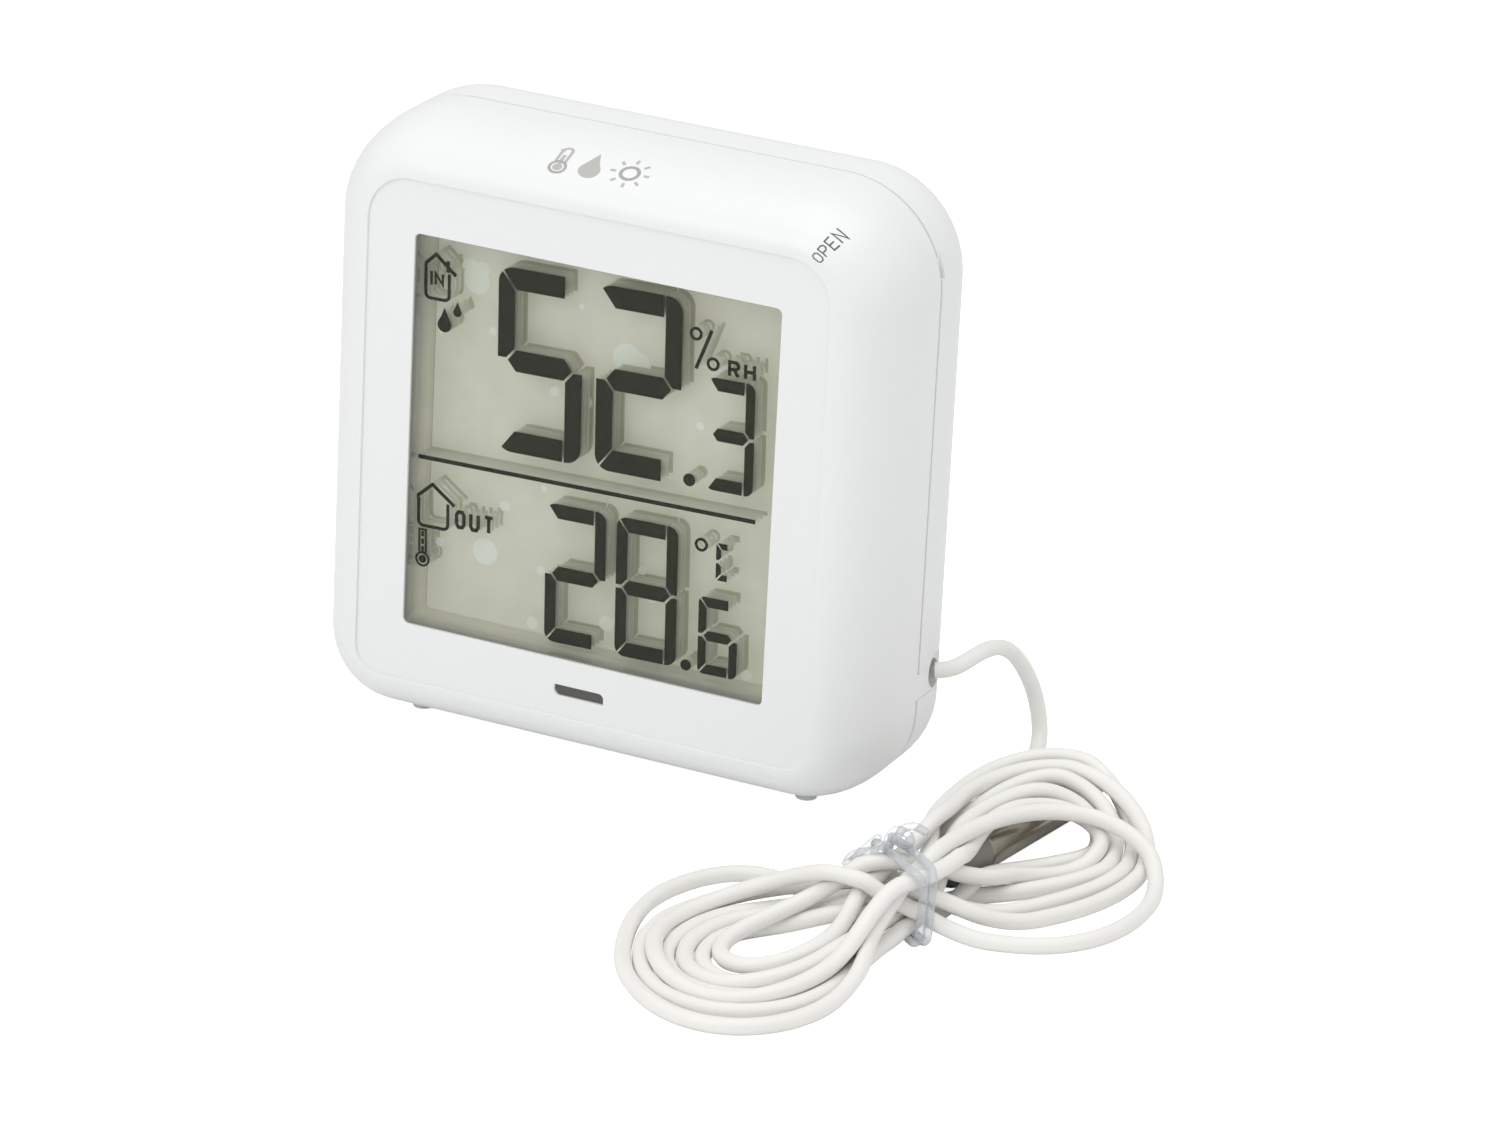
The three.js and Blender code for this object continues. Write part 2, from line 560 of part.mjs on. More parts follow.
function makeTie() {
  const top = HANK_HEIGHT + TIE.thick + GAP;
  const bore = TIE.across + GAP;
  const band = box(around(0, TIE.wide / 2), around(0, bore + TIE.thick), [0.1, top]);
  const inside = box(around(0, TIE.wide), around(0, bore), [TIE.thick, HANK_HEIGHT + 0.1]);
  const knot = new THREE.SphereGeometry(2, 12, 8).translate(0, 2, top + 0.8);
  return onTable(toGeometry(join(cut(band, inside), knot)), TIE);
}

// Steel tube, closed by a dome at its tip and open towards the sleeve.
function makeProbeTube() {
  const { radius, sleeve, length } = PROBE;
  const domeAngles = Array.from({ length: 6 }, (_, i) => (i / 6) * (Math.PI / 2));
  const dome = domeAngles.map((a) => [radius * Math.cos(a), length - radius + radius * Math.sin(a)]);
  const bore = radius - 0.5;
  const start = sleeve + GAP;
  const inner = [[0, length - 2], [bore - 0.6, length - 2.4], [bore, start]];
  const profile = [...inner, [radius, start], ...dome, [0, length]];
  const points = profile.map(([r, along]) => new THREE.Vector2(r, along));
  return new THREE.LatheGeometry(points, 18).rotateZ(-Math.PI / 2).translate(0, 0, PROBE.z);
}

addPiece("cord_lead", CORD_WHITE, cordTube(LEAD_ROUTE));
addPiece("cord_hank", CORD_WHITE, makeHank());
addPiece("hank_tie", TIE_CLEAR, makeTie());
const sleeve = rodX(0, PROBE.z, PROBE.radius + 0.15, [0, PROBE.sleeve], 18);
addPiece("probe_sleeve", SLEEVE_GREY, onTable(sleeve, PROBE));
addPiece("probe_tube", STEEL, onTable(makeProbeTube(), PROBE));

export default thermometer;
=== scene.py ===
"""Looks of an electronic maximum-minimum thermometer with a wired probe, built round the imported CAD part.

Sizes are in millimetres and become metres through MM. +X is the viewer's right, -Y the front, +Z up.
"""

import math

import bmesh
import bpy
import numpy as np
from mathutils import Matrix, Vector


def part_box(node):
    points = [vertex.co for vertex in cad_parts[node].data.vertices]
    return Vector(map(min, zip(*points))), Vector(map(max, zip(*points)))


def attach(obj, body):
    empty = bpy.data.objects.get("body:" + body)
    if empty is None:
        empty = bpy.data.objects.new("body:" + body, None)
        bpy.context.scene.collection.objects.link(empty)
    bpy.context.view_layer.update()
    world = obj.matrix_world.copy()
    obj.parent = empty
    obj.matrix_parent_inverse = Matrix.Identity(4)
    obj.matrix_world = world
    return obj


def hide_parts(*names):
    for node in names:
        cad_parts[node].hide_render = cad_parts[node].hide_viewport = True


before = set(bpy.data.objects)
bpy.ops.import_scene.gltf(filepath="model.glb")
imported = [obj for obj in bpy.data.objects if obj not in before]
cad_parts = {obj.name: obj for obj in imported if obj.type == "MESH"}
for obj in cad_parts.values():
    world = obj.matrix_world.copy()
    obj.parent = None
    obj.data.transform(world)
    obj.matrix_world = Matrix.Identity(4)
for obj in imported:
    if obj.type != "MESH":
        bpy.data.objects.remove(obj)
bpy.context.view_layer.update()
MM = 0.001


def node_box(name):
    """Lowest and highest corner of a CAD node, in millimetres."""
    low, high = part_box(name)
    return np.array(low) / MM, np.array(high) / MM


def placed(name, data):
    """A new object of the scene."""
    obj = bpy.data.objects.new(name, data)
    bpy.context.collection.objects.link(obj)
    return obj


# ---- Camera: the lens, and the place and direction of the view ----
VIEW_YAW = math.radians(25.21)
VIEW_PITCH = math.radians(21.38)
VIEW_ROLL = math.radians(2.97)
EYE = (391.74, -793.85, 374.32)
LENS_LENGTH, SENSOR_WIDTH = 168, 36
NEAREST, FARTHEST = 0.05, 20


def make_camera():
    data = bpy.data.cameras.new("camera")
    data.lens = LENS_LENGTH
    data.sensor_width = SENSOR_WIDTH
    data.clip_start, data.clip_end = NEAREST, FARTHEST
    camera = placed("camera", data)
    side = Vector((math.cos(VIEW_YAW), math.sin(VIEW_YAW), 0))
    level = math.cos(VIEW_PITCH)
    back = Vector((math.sin(VIEW_YAW) * level, -math.cos(VIEW_YAW) * level, math.sin(VIEW_PITCH)))
    upward = back.cross(side)
    cos, sin = math.cos(VIEW_ROLL), math.sin(VIEW_ROLL)
    axes = Matrix((cos * side + sin * upward, cos * upward - sin * side, back)).transposed()
    camera.matrix_world = Matrix.Translation(Vector(EYE) * MM) @ axes.to_4x4()
    bpy.context.scene.camera = camera


make_camera()


# ---- Materials ----
class Nodes:
    """A material's node tree, with short ways to add what the finishes below need."""

    def __init__(self, name):
        self.material = bpy.data.materials.new(name)
        self.material.use_nodes = True
        self.tree = self.material.node_tree
        self.shader = self.tree.nodes["Principled BSDF"]
        self.place = self.tree.nodes.new("ShaderNodeTexCoord").outputs["Object"]

    def feed(self, node, **inputs):
        """Gives a node's inputs a value, or another node's output."""
        for key, value in inputs.items():
            socket = node.inputs[key.replace("_", " ")]
            if isinstance(value, bpy.types.NodeSocket):
                self.tree.links.new(value, socket)
            else:
                socket.default_value = value
        return node

    def add(self, kind, **inputs):
        return self.feed(self.tree.nodes.new(kind), **inputs)

    def math(self, operation, first, second):
        node = self.tree.nodes.new("ShaderNodeMath")
        node.operation = operation
        self.tree.links.new(first, node.inputs[0])
        node.inputs[1].default_value = second
        return node.outputs["Value"]

    def noise(self, scale, detail, stretch=(1, 1, 1)):
        mapping = self.add("ShaderNodeMapping", Scale=stretch, Vector=self.place)
        node = self.add("ShaderNodeTexNoise", Scale=scale, Detail=detail, Vector=mapping.outputs["Vector"])
        return node.outputs["Fac"]

    def ramp(self, source, low, high, start=0.3, end=0.7):
        node = self.add("ShaderNodeValToRGB", Fac=source)
        first, last = node.color_ramp.elements
        first.position, last.position = start, end
        first.color, last.color = (*low, 1), (*high, 1)
        return node.outputs["Color"]

    def spread(self, source, low, high):
        return self.add("ShaderNodeMapRange", Value=source, To_Min=low, To_Max=high).outputs["Result"]

    def bump(self, source, depth):
        node = self.add("ShaderNodeBump", Height=source, Distance=depth)
        return node.outputs["Normal"]


def tinted(color, by):
    return tuple(min(1.0, c * by) for c in color)


def finish(name, color, roughness, metallic=0.0, grain=900, grain_depth=2e-5, mottle=0.03, stretch=(1, 1, 1),
           **fixed):
    """A finish whose colour and roughness drift a little and whose surface has a fine grain."""
    n = Nodes(name)
    drift = n.ramp(n.noise(45, 4), tinted(color, 1 - mottle), tinted(color, 1 + mottle))
    fine = n.noise(grain, 2, stretch)
    n.feed(n.shader, Base_Color=drift, Roughness=n.spread(fine, roughness * 0.85, roughness * 1.15),
           Normal=n.bump(fine, grain_depth), Metallic=metallic, **fixed)
    return n.material


def see_through(name, tint, gloss, reflecting=0.2):
    """Clear sheet with a coating: light passes straight through with a tint, under a faint gloss."""
    n = Nodes(name)
    n.tree.nodes.remove(n.shader)
    haze = n.noise(300, 2)
    clear = n.add("ShaderNodeBsdfTransparent", Color=n.ramp(haze, tinted(tint, 0.985), tint))
    sheen = n.add("ShaderNodeBsdfGlossy", Roughness=n.spread(haze, gloss * 0.8, gloss * 1.3))
    fresnel = n.add("ShaderNodeFresnel", IOR=1.45)
    coated = n.math("MULTIPLY", fresnel.outputs["Fac"], reflecting)
    mix = n.add("ShaderNodeMixShader", Fac=coated)
    n.tree.links.new(clear.outputs["BSDF"], mix.inputs[1])
    n.tree.links.new(sheen.outputs["BSDF"], mix.inputs[2])
    n.feed(n.tree.nodes["Material Output"], Surface=mix.outputs["Shader"])
    return n.material


def clear_plastic(name, color, cover_facing, cover_edge):
    """Clear soft plastic: see-through where it faces the eye and denser at its edges, with a wet gloss."""
    n = Nodes(name)
    drift = n.noise(250, 3)
    edge = n.add("ShaderNodeLayerWeight", Blend=0.45)
    n.feed(n.shader, Base_Color=n.ramp(drift, tinted(color, 0.94), tinted(color, 1.05)),
           Alpha=n.spread(edge.outputs["Facing"], cover_facing, cover_edge),
           Roughness=n.spread(drift, 0.1, 0.18), Normal=n.bump(n.noise(500, 2), 2e-5), Coat_Weight=0.6)
    return n.material


def painted_edge_shade(name, front_color, back_color, front, back):
    """A lining that lightens from its front depth to its back depth, in metres: painted shade, dark at the
    front and lighter behind, with a faint painted glow in the same colours.
    """
    n = Nodes(name)
    parts = n.add("ShaderNodeSeparateXYZ", Vector=n.place)
    depth = n.add("ShaderNodeMapRange", Value=parts.outputs["Y"], From_Min=front, From_Max=back)
    color = n.ramp(depth.outputs["Result"], front_color, back_color, 0, 0.7)
    n.feed(n.shader, Base_Color=color, Emission_Color=color, Emission_Strength=0.13,
           Roughness=n.spread(n.noise(900, 2), 0.5, 0.6))
    return n.material


def printed_sleeve(name):
    """A cell's shrink sleeve: dark body with a copper-coloured band at one end of its length."""
    n = Nodes(name)
    parts = n.add("ShaderNodeSeparateXYZ", Vector=n.place)
    drift = n.noise(60, 3)
    mix = n.tree.nodes.new("ShaderNodeMix")
    mix.data_type = "RGBA"
    n.feed(mix, Factor=n.math("GREATER_THAN", parts.outputs["X"], 0.010),
           A=n.ramp(drift, (0.012, 0.016, 0.022), (0.02, 0.026, 0.036)),
           B=n.ramp(drift, (0.42, 0.2, 0.07), (0.5, 0.25, 0.09)))
    n.feed(n.shader, Base_Color=mix.outputs["Result"], Roughness=n.spread(n.noise(400, 2), 0.25, 0.35),
           Normal=n.bump(n.noise(500, 2), 1.5e-5))
    return n.material


WHITE = finish("housing_white", (0.845, 0.862, 0.858), 0.3, grain=1400, grain_depth=6e-6, mottle=0.006)
INNER = finish("inner_plastic", (0.74, 0.74, 0.71), 0.5, mottle=0.02)
LENS = see_through("clear_window", (0.99, 0.995, 0.985), 0.03)
GLASS = see_through("lcd_glass", (0.985, 0.985, 0.975), 0.08, reflecting=0.1)
# Reflector film in its own colour, with a faint emission that is a painted glow brightening the display.
REFLECTOR = finish("reflector_film", (0.80, 0.80, 0.718), 0.55, grain=2600, grain_depth=1.5e-5, mottle=0.035,
                   Emission_Color=(0.93, 0.93, 0.83, 1), Emission_Strength=0.1)
SEGMENT = finish("segment_dark", (0.03, 0.03, 0.022), 0.6, grain=1500, grain_depth=2e-6, mottle=0.05,
                 Specular_IOR_Level=0.1)
# Painted shadows and reflections of the segments: copies of the figures in lighter and darker olive, one for
# each depth behind them.
PAINTED_SHADOWS = [finish(f"segment_painted_shadow_{k + 1}", color, 0.6, grain=2600, grain_depth=8e-6, mottle=0.03)
          for k, color in enumerate(((0.82, 0.82, 0.71), (0.70, 0.70, 0.61), (0.64, 0.64, 0.55)))]
# The bubbles are real trapped air. Their light colour and faint emission are a painted highlight and glow.
BUBBLE_PAINTED_GLOW = finish("film_bubble", (0.95, 0.99, 0.95), 0.4, grain=300, mottle=0.02,
                Emission_Color=(0.9, 1, 0.93, 1), Emission_Strength=0.07)
VENT_GREY = finish("vent_grey", (0.095, 0.097, 0.088), 0.65, grain=700, grain_depth=6e-5)
BOARD = finish("circuit_board", (0.03, 0.14, 0.06), 0.35, mottle=0.12)
RESIN = finish("black_resin", (0.012, 0.012, 0.013), 0.35, mottle=0.2)
RUBBER = finish("black_rubber", (0.02, 0.02, 0.02), 0.7, mottle=0.15)
STEEL = finish("steel", (0.55, 0.56, 0.57), 0.3, 1.0, grain=1200, stretch=(1, 12, 1), mottle=0.06)
NICKEL = finish("nickel", (0.62, 0.6, 0.56), 0.22, 1.0, grain=900, mottle=0.05)
SLEEVE = printed_sleeve("cell_wrap")
CORD = finish("cord_white", (0.86, 0.85, 0.815), 0.42, grain=700, grain_depth=2.5e-5, mottle=0.02)
SHRINK = finish("probe_sleeve", (0.22, 0.215, 0.188), 0.45, grain=600, grain_depth=4e-5, mottle=0.08)
# Darker and browner than bare steel: a painted dark reflection of the surroundings.
PROBE_STEEL_PAINTED_REFLECTION = finish("probe_steel", (0.34, 0.31, 0.26), 0.14, 1.0, grain=800, stretch=(1, 8, 1), mottle=0.08)
TIE_CLEAR = clear_plastic("tie_clear", (0.62, 0.65, 0.68), 0.28, 0.8)
PRINT_GREY = finish("print_grey", (0.47, 0.47, 0.45), 0.4, mottle=0.04)
PRINT_DARK = finish("print_dark", (0.09, 0.095, 0.1), 0.45, mottle=0.1)


# ---- Building pieces ----
SHARP = math.radians(32)
ROUND_STEPS = 8


def as_object(bm, name):
    """Turns a bmesh in millimetres into an object in metres."""
    bmesh.ops.scale(bm, vec=(MM, MM, MM), verts=bm.verts)
    mesh = bpy.data.meshes.new(name)
    bm.to_mesh(mesh)
    bm.free()
    return placed(name, mesh)


def from_bmesh(bm, name, material, body="case"):
    """Turns a bmesh in millimetres into a smooth piece on its body."""
    bmesh.ops.remove_doubles(bm, verts=bm.verts, dist=1e-4)
    bmesh.ops.recalc_face_normals(bm, faces=bm.faces)
    obj = as_object(bm, name)
    obj.data.materials.append(material)
    for polygon in obj.data.polygons:
        polygon.use_smooth = True
    obj.data.set_sharp_from_angle(angle=SHARP)
    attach(obj, body)
    return obj


def add_loop(bm, points):
    return [bm.verts.new(p) for p in points]


def bridge(bm, a, b):
    count = len(a)
    for i in range(count):
        j = (i + 1) % count
        bm.faces.new((a[i], a[j], b[j], b[i]))


def fill(bm, loops):
    """A flat face between an outline and its holes."""
    edges = []
    for loop in loops:
        for i, vert in enumerate(loop):
            after = loop[(i + 1) % len(loop)]
            edges.append(bm.edges.get((vert, after)) or bm.edges.new((vert, after)))
    bmesh.ops.triangle_fill(bm, use_beauty=True, use_dissolve=False, edges=edges)


def skin(bm, rings, closed=False):
    """Quads over rings of equal length. Closed joins the last ring to the first."""
    loops = [add_loop(bm, ring) for ring in rings]
    for a, b in zip(loops, loops[1:]):
        bridge(bm, a, b)
    if closed:
        bridge(bm, loops[-1], loops[0])
    return loops


def capped(bm, rings):
    """A solid over rings of equal length."""
    loops = skin(bm, rings)
    for loop in (loops[0], loops[-1]):
        bm.faces.new(loop)


def turned(bm, profile, base, axis, sides):
    """A body turned about an axis through base.

    The profile is (radius, along) from axis to axis, or a closed ring.
    """
    axis = Vector(axis).normalized()
    across = axis.orthogonal().normalized()
    other = axis.cross(across)
    angles = [2 * math.pi * k / sides for k in range(sides)]
    rings = []
    for radius, along in profile:
        centre = Vector(base) + axis * along
        rings.append([centre + radius * (math.cos(a) * across + math.sin(a) * other) for a in angles])
    on_axis = profile[0][0] == 0
    loops = skin(bm, rings[1:-1] if on_axis else rings, closed=not on_axis)
    if on_axis:
        for loop, (_, along) in ((loops[0], profile[0]), (loops[-1], profile[-1])):
            tip = bm.verts.new(Vector(base) + axis * along)
            for i in range(sides):
                bm.faces.new((loop[i], loop[(i + 1) % sides], tip))


def rounded_rectangle(x, z, width, height, radii, grow=0.0):
    """Outline points (x, z), anticlockwise, with the radii in the same order, both from the bottom right."""
    half_w, half_h = width / 2 + grow, height / 2 + grow
    points = []
    for k, radius in enumerate(radii):
        r = max(radius + grow, 0.02)
        cx = x + (half_w - r) * (1 if k < 2 else -1)
        cz = z + (half_h - r) * (1 if k in (1, 2) else -1)
        for i in range(ROUND_STEPS + 1):
            a = math.pi / 2 * (k - 1 + i / ROUND_STEPS)
            points.append((cx + r * math.cos(a), cz + r * math.sin(a)))
    return points


def at_depth(outline, y):
    return [(x, y, z) for x, z in outline]


def layers(size, levels):
    """Rings of a rounded rectangle at several depths. A level is (depth, growth)."""
    return [at_depth(rounded_rectangle(**size, grow=grow), y) for y, grow in levels]


# ---- Probe cord: a limp lead, wound in a figure of eight, tied and settled on the table ----
CORD_RADIUS = 1.15
CORD_STEP = 1.25
CLEARANCE = 2 * CORD_RADIUS + 0.05
TABLE_GAP = 0.02
SETTLING_STEPS, QUICK_STEPS = 320, 20

# Out of the case and down to the table, in metres, as in the CAD part.
LEAD_ROUTE = [
    (0.0424, 0.0088, 0.01755),
    (0.0443, 0.0096, 0.0179),
    (0.0455, 0.0122, 0.0185),
    (0.0462, 0.0158, 0.0188),
    (0.0467, 0.0196, 0.0182),
    (0.0472, 0.0231, 0.0164),
    (0.0478, 0.0262, 0.0133),
    (0.0485, 0.0284, 0.0096),
    (0.0492, 0.0293, 0.0059),
    (0.0499, 0.0287, 0.0029),
    (0.0506, 0.0264, 0.00125),
]
TABLE_ROUTE = [
    (0.0516, 0.022, 0.001),
    (0.0528, 0.014, 0.001),
    (0.0536, 0.005, 0.001),
    (0.0546, -0.006, 0.001),
    (0.056, -0.018, 0.0012),
    (0.0574, -0.028, 0.0018),
]

TIE_CENTRE = np.array((58.3, -34.8))
TIE_HEADING = math.radians(48)
TIE_ALONG = np.array((math.cos(TIE_HEADING), math.sin(TIE_HEADING)))
TIE_ACROSS = np.array((-TIE_ALONG[1], TIE_ALONG[0]))
TIE_LOW, TIE_HIGH = 1.2, 10.4
PROBE_START = np.array((58.3, -21.6, 3.2))
PROBE_HEADING = math.radians(82.7)
PROBE_AXIS = np.array((math.cos(PROBE_HEADING), math.sin(PROBE_HEADING), 0))
PROBE_LENGTH = 38

# Outermost and innermost turn of each loop, clockwise as (x, y, height), from the tie back to the tie.
LEFT_OUTER = [(59.1, -48.5, 4.5), (61, -56.6, 2.5), (61.5, -66.6, 1.5), (57.8, -74.4, 1),
              (50.5, -78.6, 1), (41.6, -73.4, 1), (32.8, -61.2, 1), (28.6, -50.3, 1.4),
              (28.4, -40.6, 2.5), (32.4, -33, 4), (39, -29.2, 5.4), (48, -28.6, 6.4)]
LEFT_INNER = [(58.7, -45.6, 6.5), (57.5, -51.1, 5.5), (54.2, -58.8, 4.5), (50.1, -64.8, 4),
              (45.5, -66.8, 3.5), (41.4, -64.3, 3.2), (40.2, -58.6, 3.5), (40.6, -54.5, 3.7),
              (41.9, -51.2, 4), (44, -47, 4.5), (46.2, -44, 5), (52, -39.7, 6)]
RIGHT_OUTER = [(66, -44.4, 1.2), (70, -40.5, 1), (76.1, -36, 1), (80.2, -32, 1), (83.2, -26, 1),
               (84, -15.4, 1.3), (82.4, -6.5, 2), (78.8, -0.3, 3.2), (74.4, 2.8, 5.4), (70.4, 1.6, 7.5),
               (66.7, -2, 8.8), (64, -7.3, 9), (62.2, -14.6, 8.8), (61.2, -24.9, 8)]
RIGHT_INNER = [(62.4, -30, 4.2), (63.6, -22, 4), (64.8, -14.5, 3.6), (66.8, -8, 3.3), (69.8, -4.5, 3.2),
               (73, -4.2, 3.6), (75, -0.8, 4.6), (73.2, 4.4, 6.2), (69.2, 9.5, 7.6), (64, 14.4, 8.6),
               (57.6, 16, 9), (54, 10.5, 8.8), (52.2, 0.5, 8.4), (53, -12, 7.6)]

# Each turn's share of the way from the inner outline to the outer one, and its lift. A right turn starts with
# one share and ends with another, changing over in CHANGE of its length.
LEFT_TURNS = [(0.38, -1), (0.1, -1), (0.62, -0.3), (0.24, 0.2), (-0.12, 0.3), (0.5, 0.8), (1, 0.6)]
RIGHT_TURNS = [(0.22, 0.35, -1.4), (-0.08, 0.62, -1), (0.42, 0, -0.2), (0.6, 0.2, 0), (0.08, 0.8, -0.4),
               (1, 1, 0.4)]
CHANGE_START, CHANGE = 0.36, 0.28
# Each turn's place across the tie, before its left and its right loop, and the heights of all passes.
BEFORE_LEFT = [-1, 1.5, -2.6, 0.5, 3, -1.5, 1]
BEFORE_RIGHT = [1.5, -2, 2.8, -0.5, 0.8, 3, 0.6]
LOWEST_PASS, HIGHEST_PASS, LAST_PASS = 2.2, 8.4, 3.2
# The last turn ends towards the probe.
LAST_BEND = [(-0.3, 1.5, -0.4), (-0.6, 3, -1.2), (-1.2, 4, -1.8)]
TO_PROBE = [(61.9, -33.4, 3.1), (61.9, -28, 3.2)]


def blended(a, b, share):
    return np.array(a, float) * (1 - share) + np.array(b, float) * share


def in_tie(across, height):
    return np.append(TIE_CENTRE + TIE_ACROSS * across, height)


def wound_keys():
    """Points that the cord passes, from the case to the probe."""
    turns = len(LEFT_TURNS)
    heights = np.linspace(LOWEST_PASS, HIGHEST_PASS, 2 * turns)
    heights[-1] = LAST_PASS
    keys = [np.array(p) / MM for p in LEAD_ROUTE + TABLE_ROUTE]
    along = np.clip((np.linspace(0, 1, len(RIGHT_OUTER)) - CHANGE_START) / CHANGE, 0, 1)[:, None]
    for k, (share, lift) in enumerate(LEFT_TURNS):
        last = k == turns - 1
        keys.append(in_tie(BEFORE_LEFT[k], heights[2 * k]))
        loop = blended(LEFT_INNER, LEFT_OUTER, share) + (0, 0, lift)
        if last:
            loop[-3:] += LAST_BEND
        keys += list(loop)
        keys.append(in_tie(BEFORE_RIGHT[k], heights[2 * k + 1]))
        if not last:
            near, far, lift = RIGHT_TURNS[k]
            shares = near * (1 - along) + far * along
            keys += list(blended(RIGHT_INNER, RIGHT_OUTER, shares) + (0, 0, lift))
    return keys + [np.array(p) for p in TO_PROBE] + [PROBE_START - 3 * PROBE_AXIS, PROBE_START]


def smooth_curve(points, per_span=10):
    """Catmull-Rom curve through the points."""
    p = np.array(points, float)
    p = np.vstack([2 * p[0] - p[1], p, 2 * p[-1] - p[-2]])
    t = np.linspace(0, 1, per_span, endpoint=False)[:, None]
    spans = []
    for a, b, c, d in zip(p, p[1:], p[2:], p[3:]):
        square, cube = 2 * a - 5 * b + 4 * c - d, 3 * b - a - 3 * c + d
        spans.append(0.5 * (2 * b + (c - a) * t + square * t**2 + cube * t**3))
    return np.vstack(spans + [p[-2:-1]])


def evenly(line, step):
    run = np.concatenate([[0], np.cumsum(np.linalg.norm(np.diff(line, axis=0), axis=1))])
    at = np.linspace(0, run[-1], round(run[-1] / step) + 1)
    return np.stack([np.interp(at, run, line[:, k]) for k in range(3)], axis=1)


def unit_rows(v):
    return v / (np.linalg.norm(v, axis=1, keepdims=True) + 1e-9)


class CordRelaxation:
    """Settles the wound cord: it bends softly, keeps out of itself and lies on the table by its weight."""

    LEAD_HELD = 44  # length from the case that stays where it is
    LEAD_UNDER = 128  # length that the end of the winding doesn't pass under
    END_POINTS = 140  # the tail starts at the leftmost of these last points
    CLOSE = 2 * CORD_RADIUS + 1.6  # strands nearer than this are watched
    FREE_OF_TIE = 9  # crossings nearer the tie than this settle by themselves
    SOFT, FINE, SOFT_PART = 20, 5, 0.88  # bending weights, and how long the first one lasts
    WEIGHT, HOMING, PUSH_LIMIT = 0.03, 0.03, 0.22
    ROUNDS, EVENING_ROUNDS = 5, 12
    TIE_HALF_WIDTH, TIE_SPREAD, TIE_PULL = 5.9, 0.1, 0.35

    def __init__(self, line):
        self.p = line.copy()
        self.home = line.copy()
        self.count = len(line)
        self.free = np.ones(self.count)
        self.free[: int(self.LEAD_HELD / CORD_STEP)] = 0
        self.free[-3:] = 0
        to_tie = np.linalg.norm(line[:, :2] - TIE_CENTRE, axis=1)
        self.hold = np.clip((to_tie - 10) / 12, 0.05, 1)
        late = np.arange(self.count) > self.count - self.END_POINTS
        self.tail = int(np.argmin(np.where(late, line[:, 0], np.inf)))
        self.bend_soft = self.bending(self.SOFT)
        self.bend_fine = self.bending(self.FINE)

    def bending(self, weight):
        """One implicit step of bending stiffness, as a matrix."""
        n = self.count
        second = np.zeros((n - 2, n))
        row = np.arange(n - 2)
        second[row, row] = 1
        second[row, row + 1] = -2
        second[row, row + 2] = 1
        stiff = weight * second.T @ second
        stiff[self.free == 0] = 0
        return np.linalg.inv(np.eye(n) + stiff)

    def run(self, steps):
        for step in range(steps):
            done = step / steps
            if step % 4 == 0:
                away = ((self.p[:, None] - self.p[None]) ** 2).sum(-1)
                self.pairs = np.nonzero(np.triu(away < self.CLOSE**2, 4))
            pull = self.HOMING * (1 - 0.7 * done) * self.free * self.hold
            self.p[:, 2] -= self.WEIGHT * self.free
            self.p += (self.home - self.p) * pull[:, None]
            self.p = (self.bend_soft if done < self.SOFT_PART else self.bend_fine) @ self.p
            for _ in range(self.ROUNDS):
                self.part_strands()
                self.rest_on_table()
                self.clear_probe()
                self.clear_case()
                self.stay_in_tie()
            self.space_out()
        return self.p

    def part_strands(self):
        """Pushes apart strands nearer than a diameter; where they cross, the later one goes over."""
        i, j = self.pairs
        run = unit_rows(np.gradient(self.p, axis=0))
        apart, ti, tj = self.p[j] - self.p[i], run[i], run[j]
        along = (ti * tj).sum(1)
        ei, ej = (apart * ti).sum(1), (apart * tj).sum(1)
        square = 1 - along**2
        crossing = square > 0.06
        square = np.where(crossing, square, 1)
        s = np.where(crossing, (ei - along * ej) / square, ei / 2)
        t = np.where(crossing, (along * ei - ej) / square, -ej / 2)
        reach = 0.62 * CORD_STEP
        normal = apart + tj * t[:, None] - ti * s[:, None]
        from_tie = np.abs(self.p[i, :2] - TIE_CENTRE).sum(1)
        ordered = (along**2 < 0.75) & (from_tie > self.FREE_OF_TIE)
        over = np.where((j >= self.tail) & (i >= int(self.LEAD_UNDER / CORD_STEP)), -1.0, 1.0)
        sign = np.where(ordered & (normal[:, 2] * over < 0), -1.0, 1.0)
        size = np.linalg.norm(normal, axis=1) + 1e-9
        near = (np.abs(s) < reach) & (np.abs(t) < reach) & (size * sign < CLEARANCE)
        a, b, size, sign = i[near], j[near], size[near], sign[near]
        depth = np.minimum((CLEARANCE - size * sign) / 2, self.PUSH_LIMIT)
        push = normal[near] * (sign * depth / size)[:, None]
        touches = np.bincount(a, minlength=self.count) + np.bincount(b, minlength=self.count)
        share = np.where(touches > 1, 1.3 / np.maximum(touches, 1), 1) * self.free
        for k in range(3):
            moved = np.bincount(b, push[:, k], self.count) - np.bincount(a, push[:, k], self.count)
            self.p[:, k] += moved * share

    def rest_on_table(self):
        low = (self.free > 0) & (self.p[:, 2] < CORD_RADIUS + TABLE_GAP)
        self.p[low, 2] = CORD_RADIUS + TABLE_GAP

    def clear_probe(self):
        """Keeps the strands on top of the probe, which lies on the table."""
        rel = self.p - PROBE_START
        away = rel - np.clip(rel @ PROBE_AXIS, 3, PROBE_LENGTH)[:, None] * PROBE_AXIS
        away[:, 2] = np.maximum(away[:, 2], 0.05)
        size = np.linalg.norm(away, axis=1) + 1e-9
        limit = CORD_RADIUS + PROBE_START[2]
        hit = (size < limit) & (self.free > 0) & (np.arange(self.count) < self.count - 10)
        self.p[hit] += away[hit] * ((limit - size[hit]) / size[hit])[:, None]

    def clear_case(self):
        """Keeps the cord off the case's right side and front."""
        side, front, rear = 44.2, -15.8, 16
        x, y = self.p[:, 0], self.p[:, 1]
        hit = (x < side) & (y > front) & (y < rear) & (self.free > 0)
        by_front = hit & (side - x > y - front)
        self.p[hit & ~by_front, 0] = side
        self.p[by_front, 1] = front

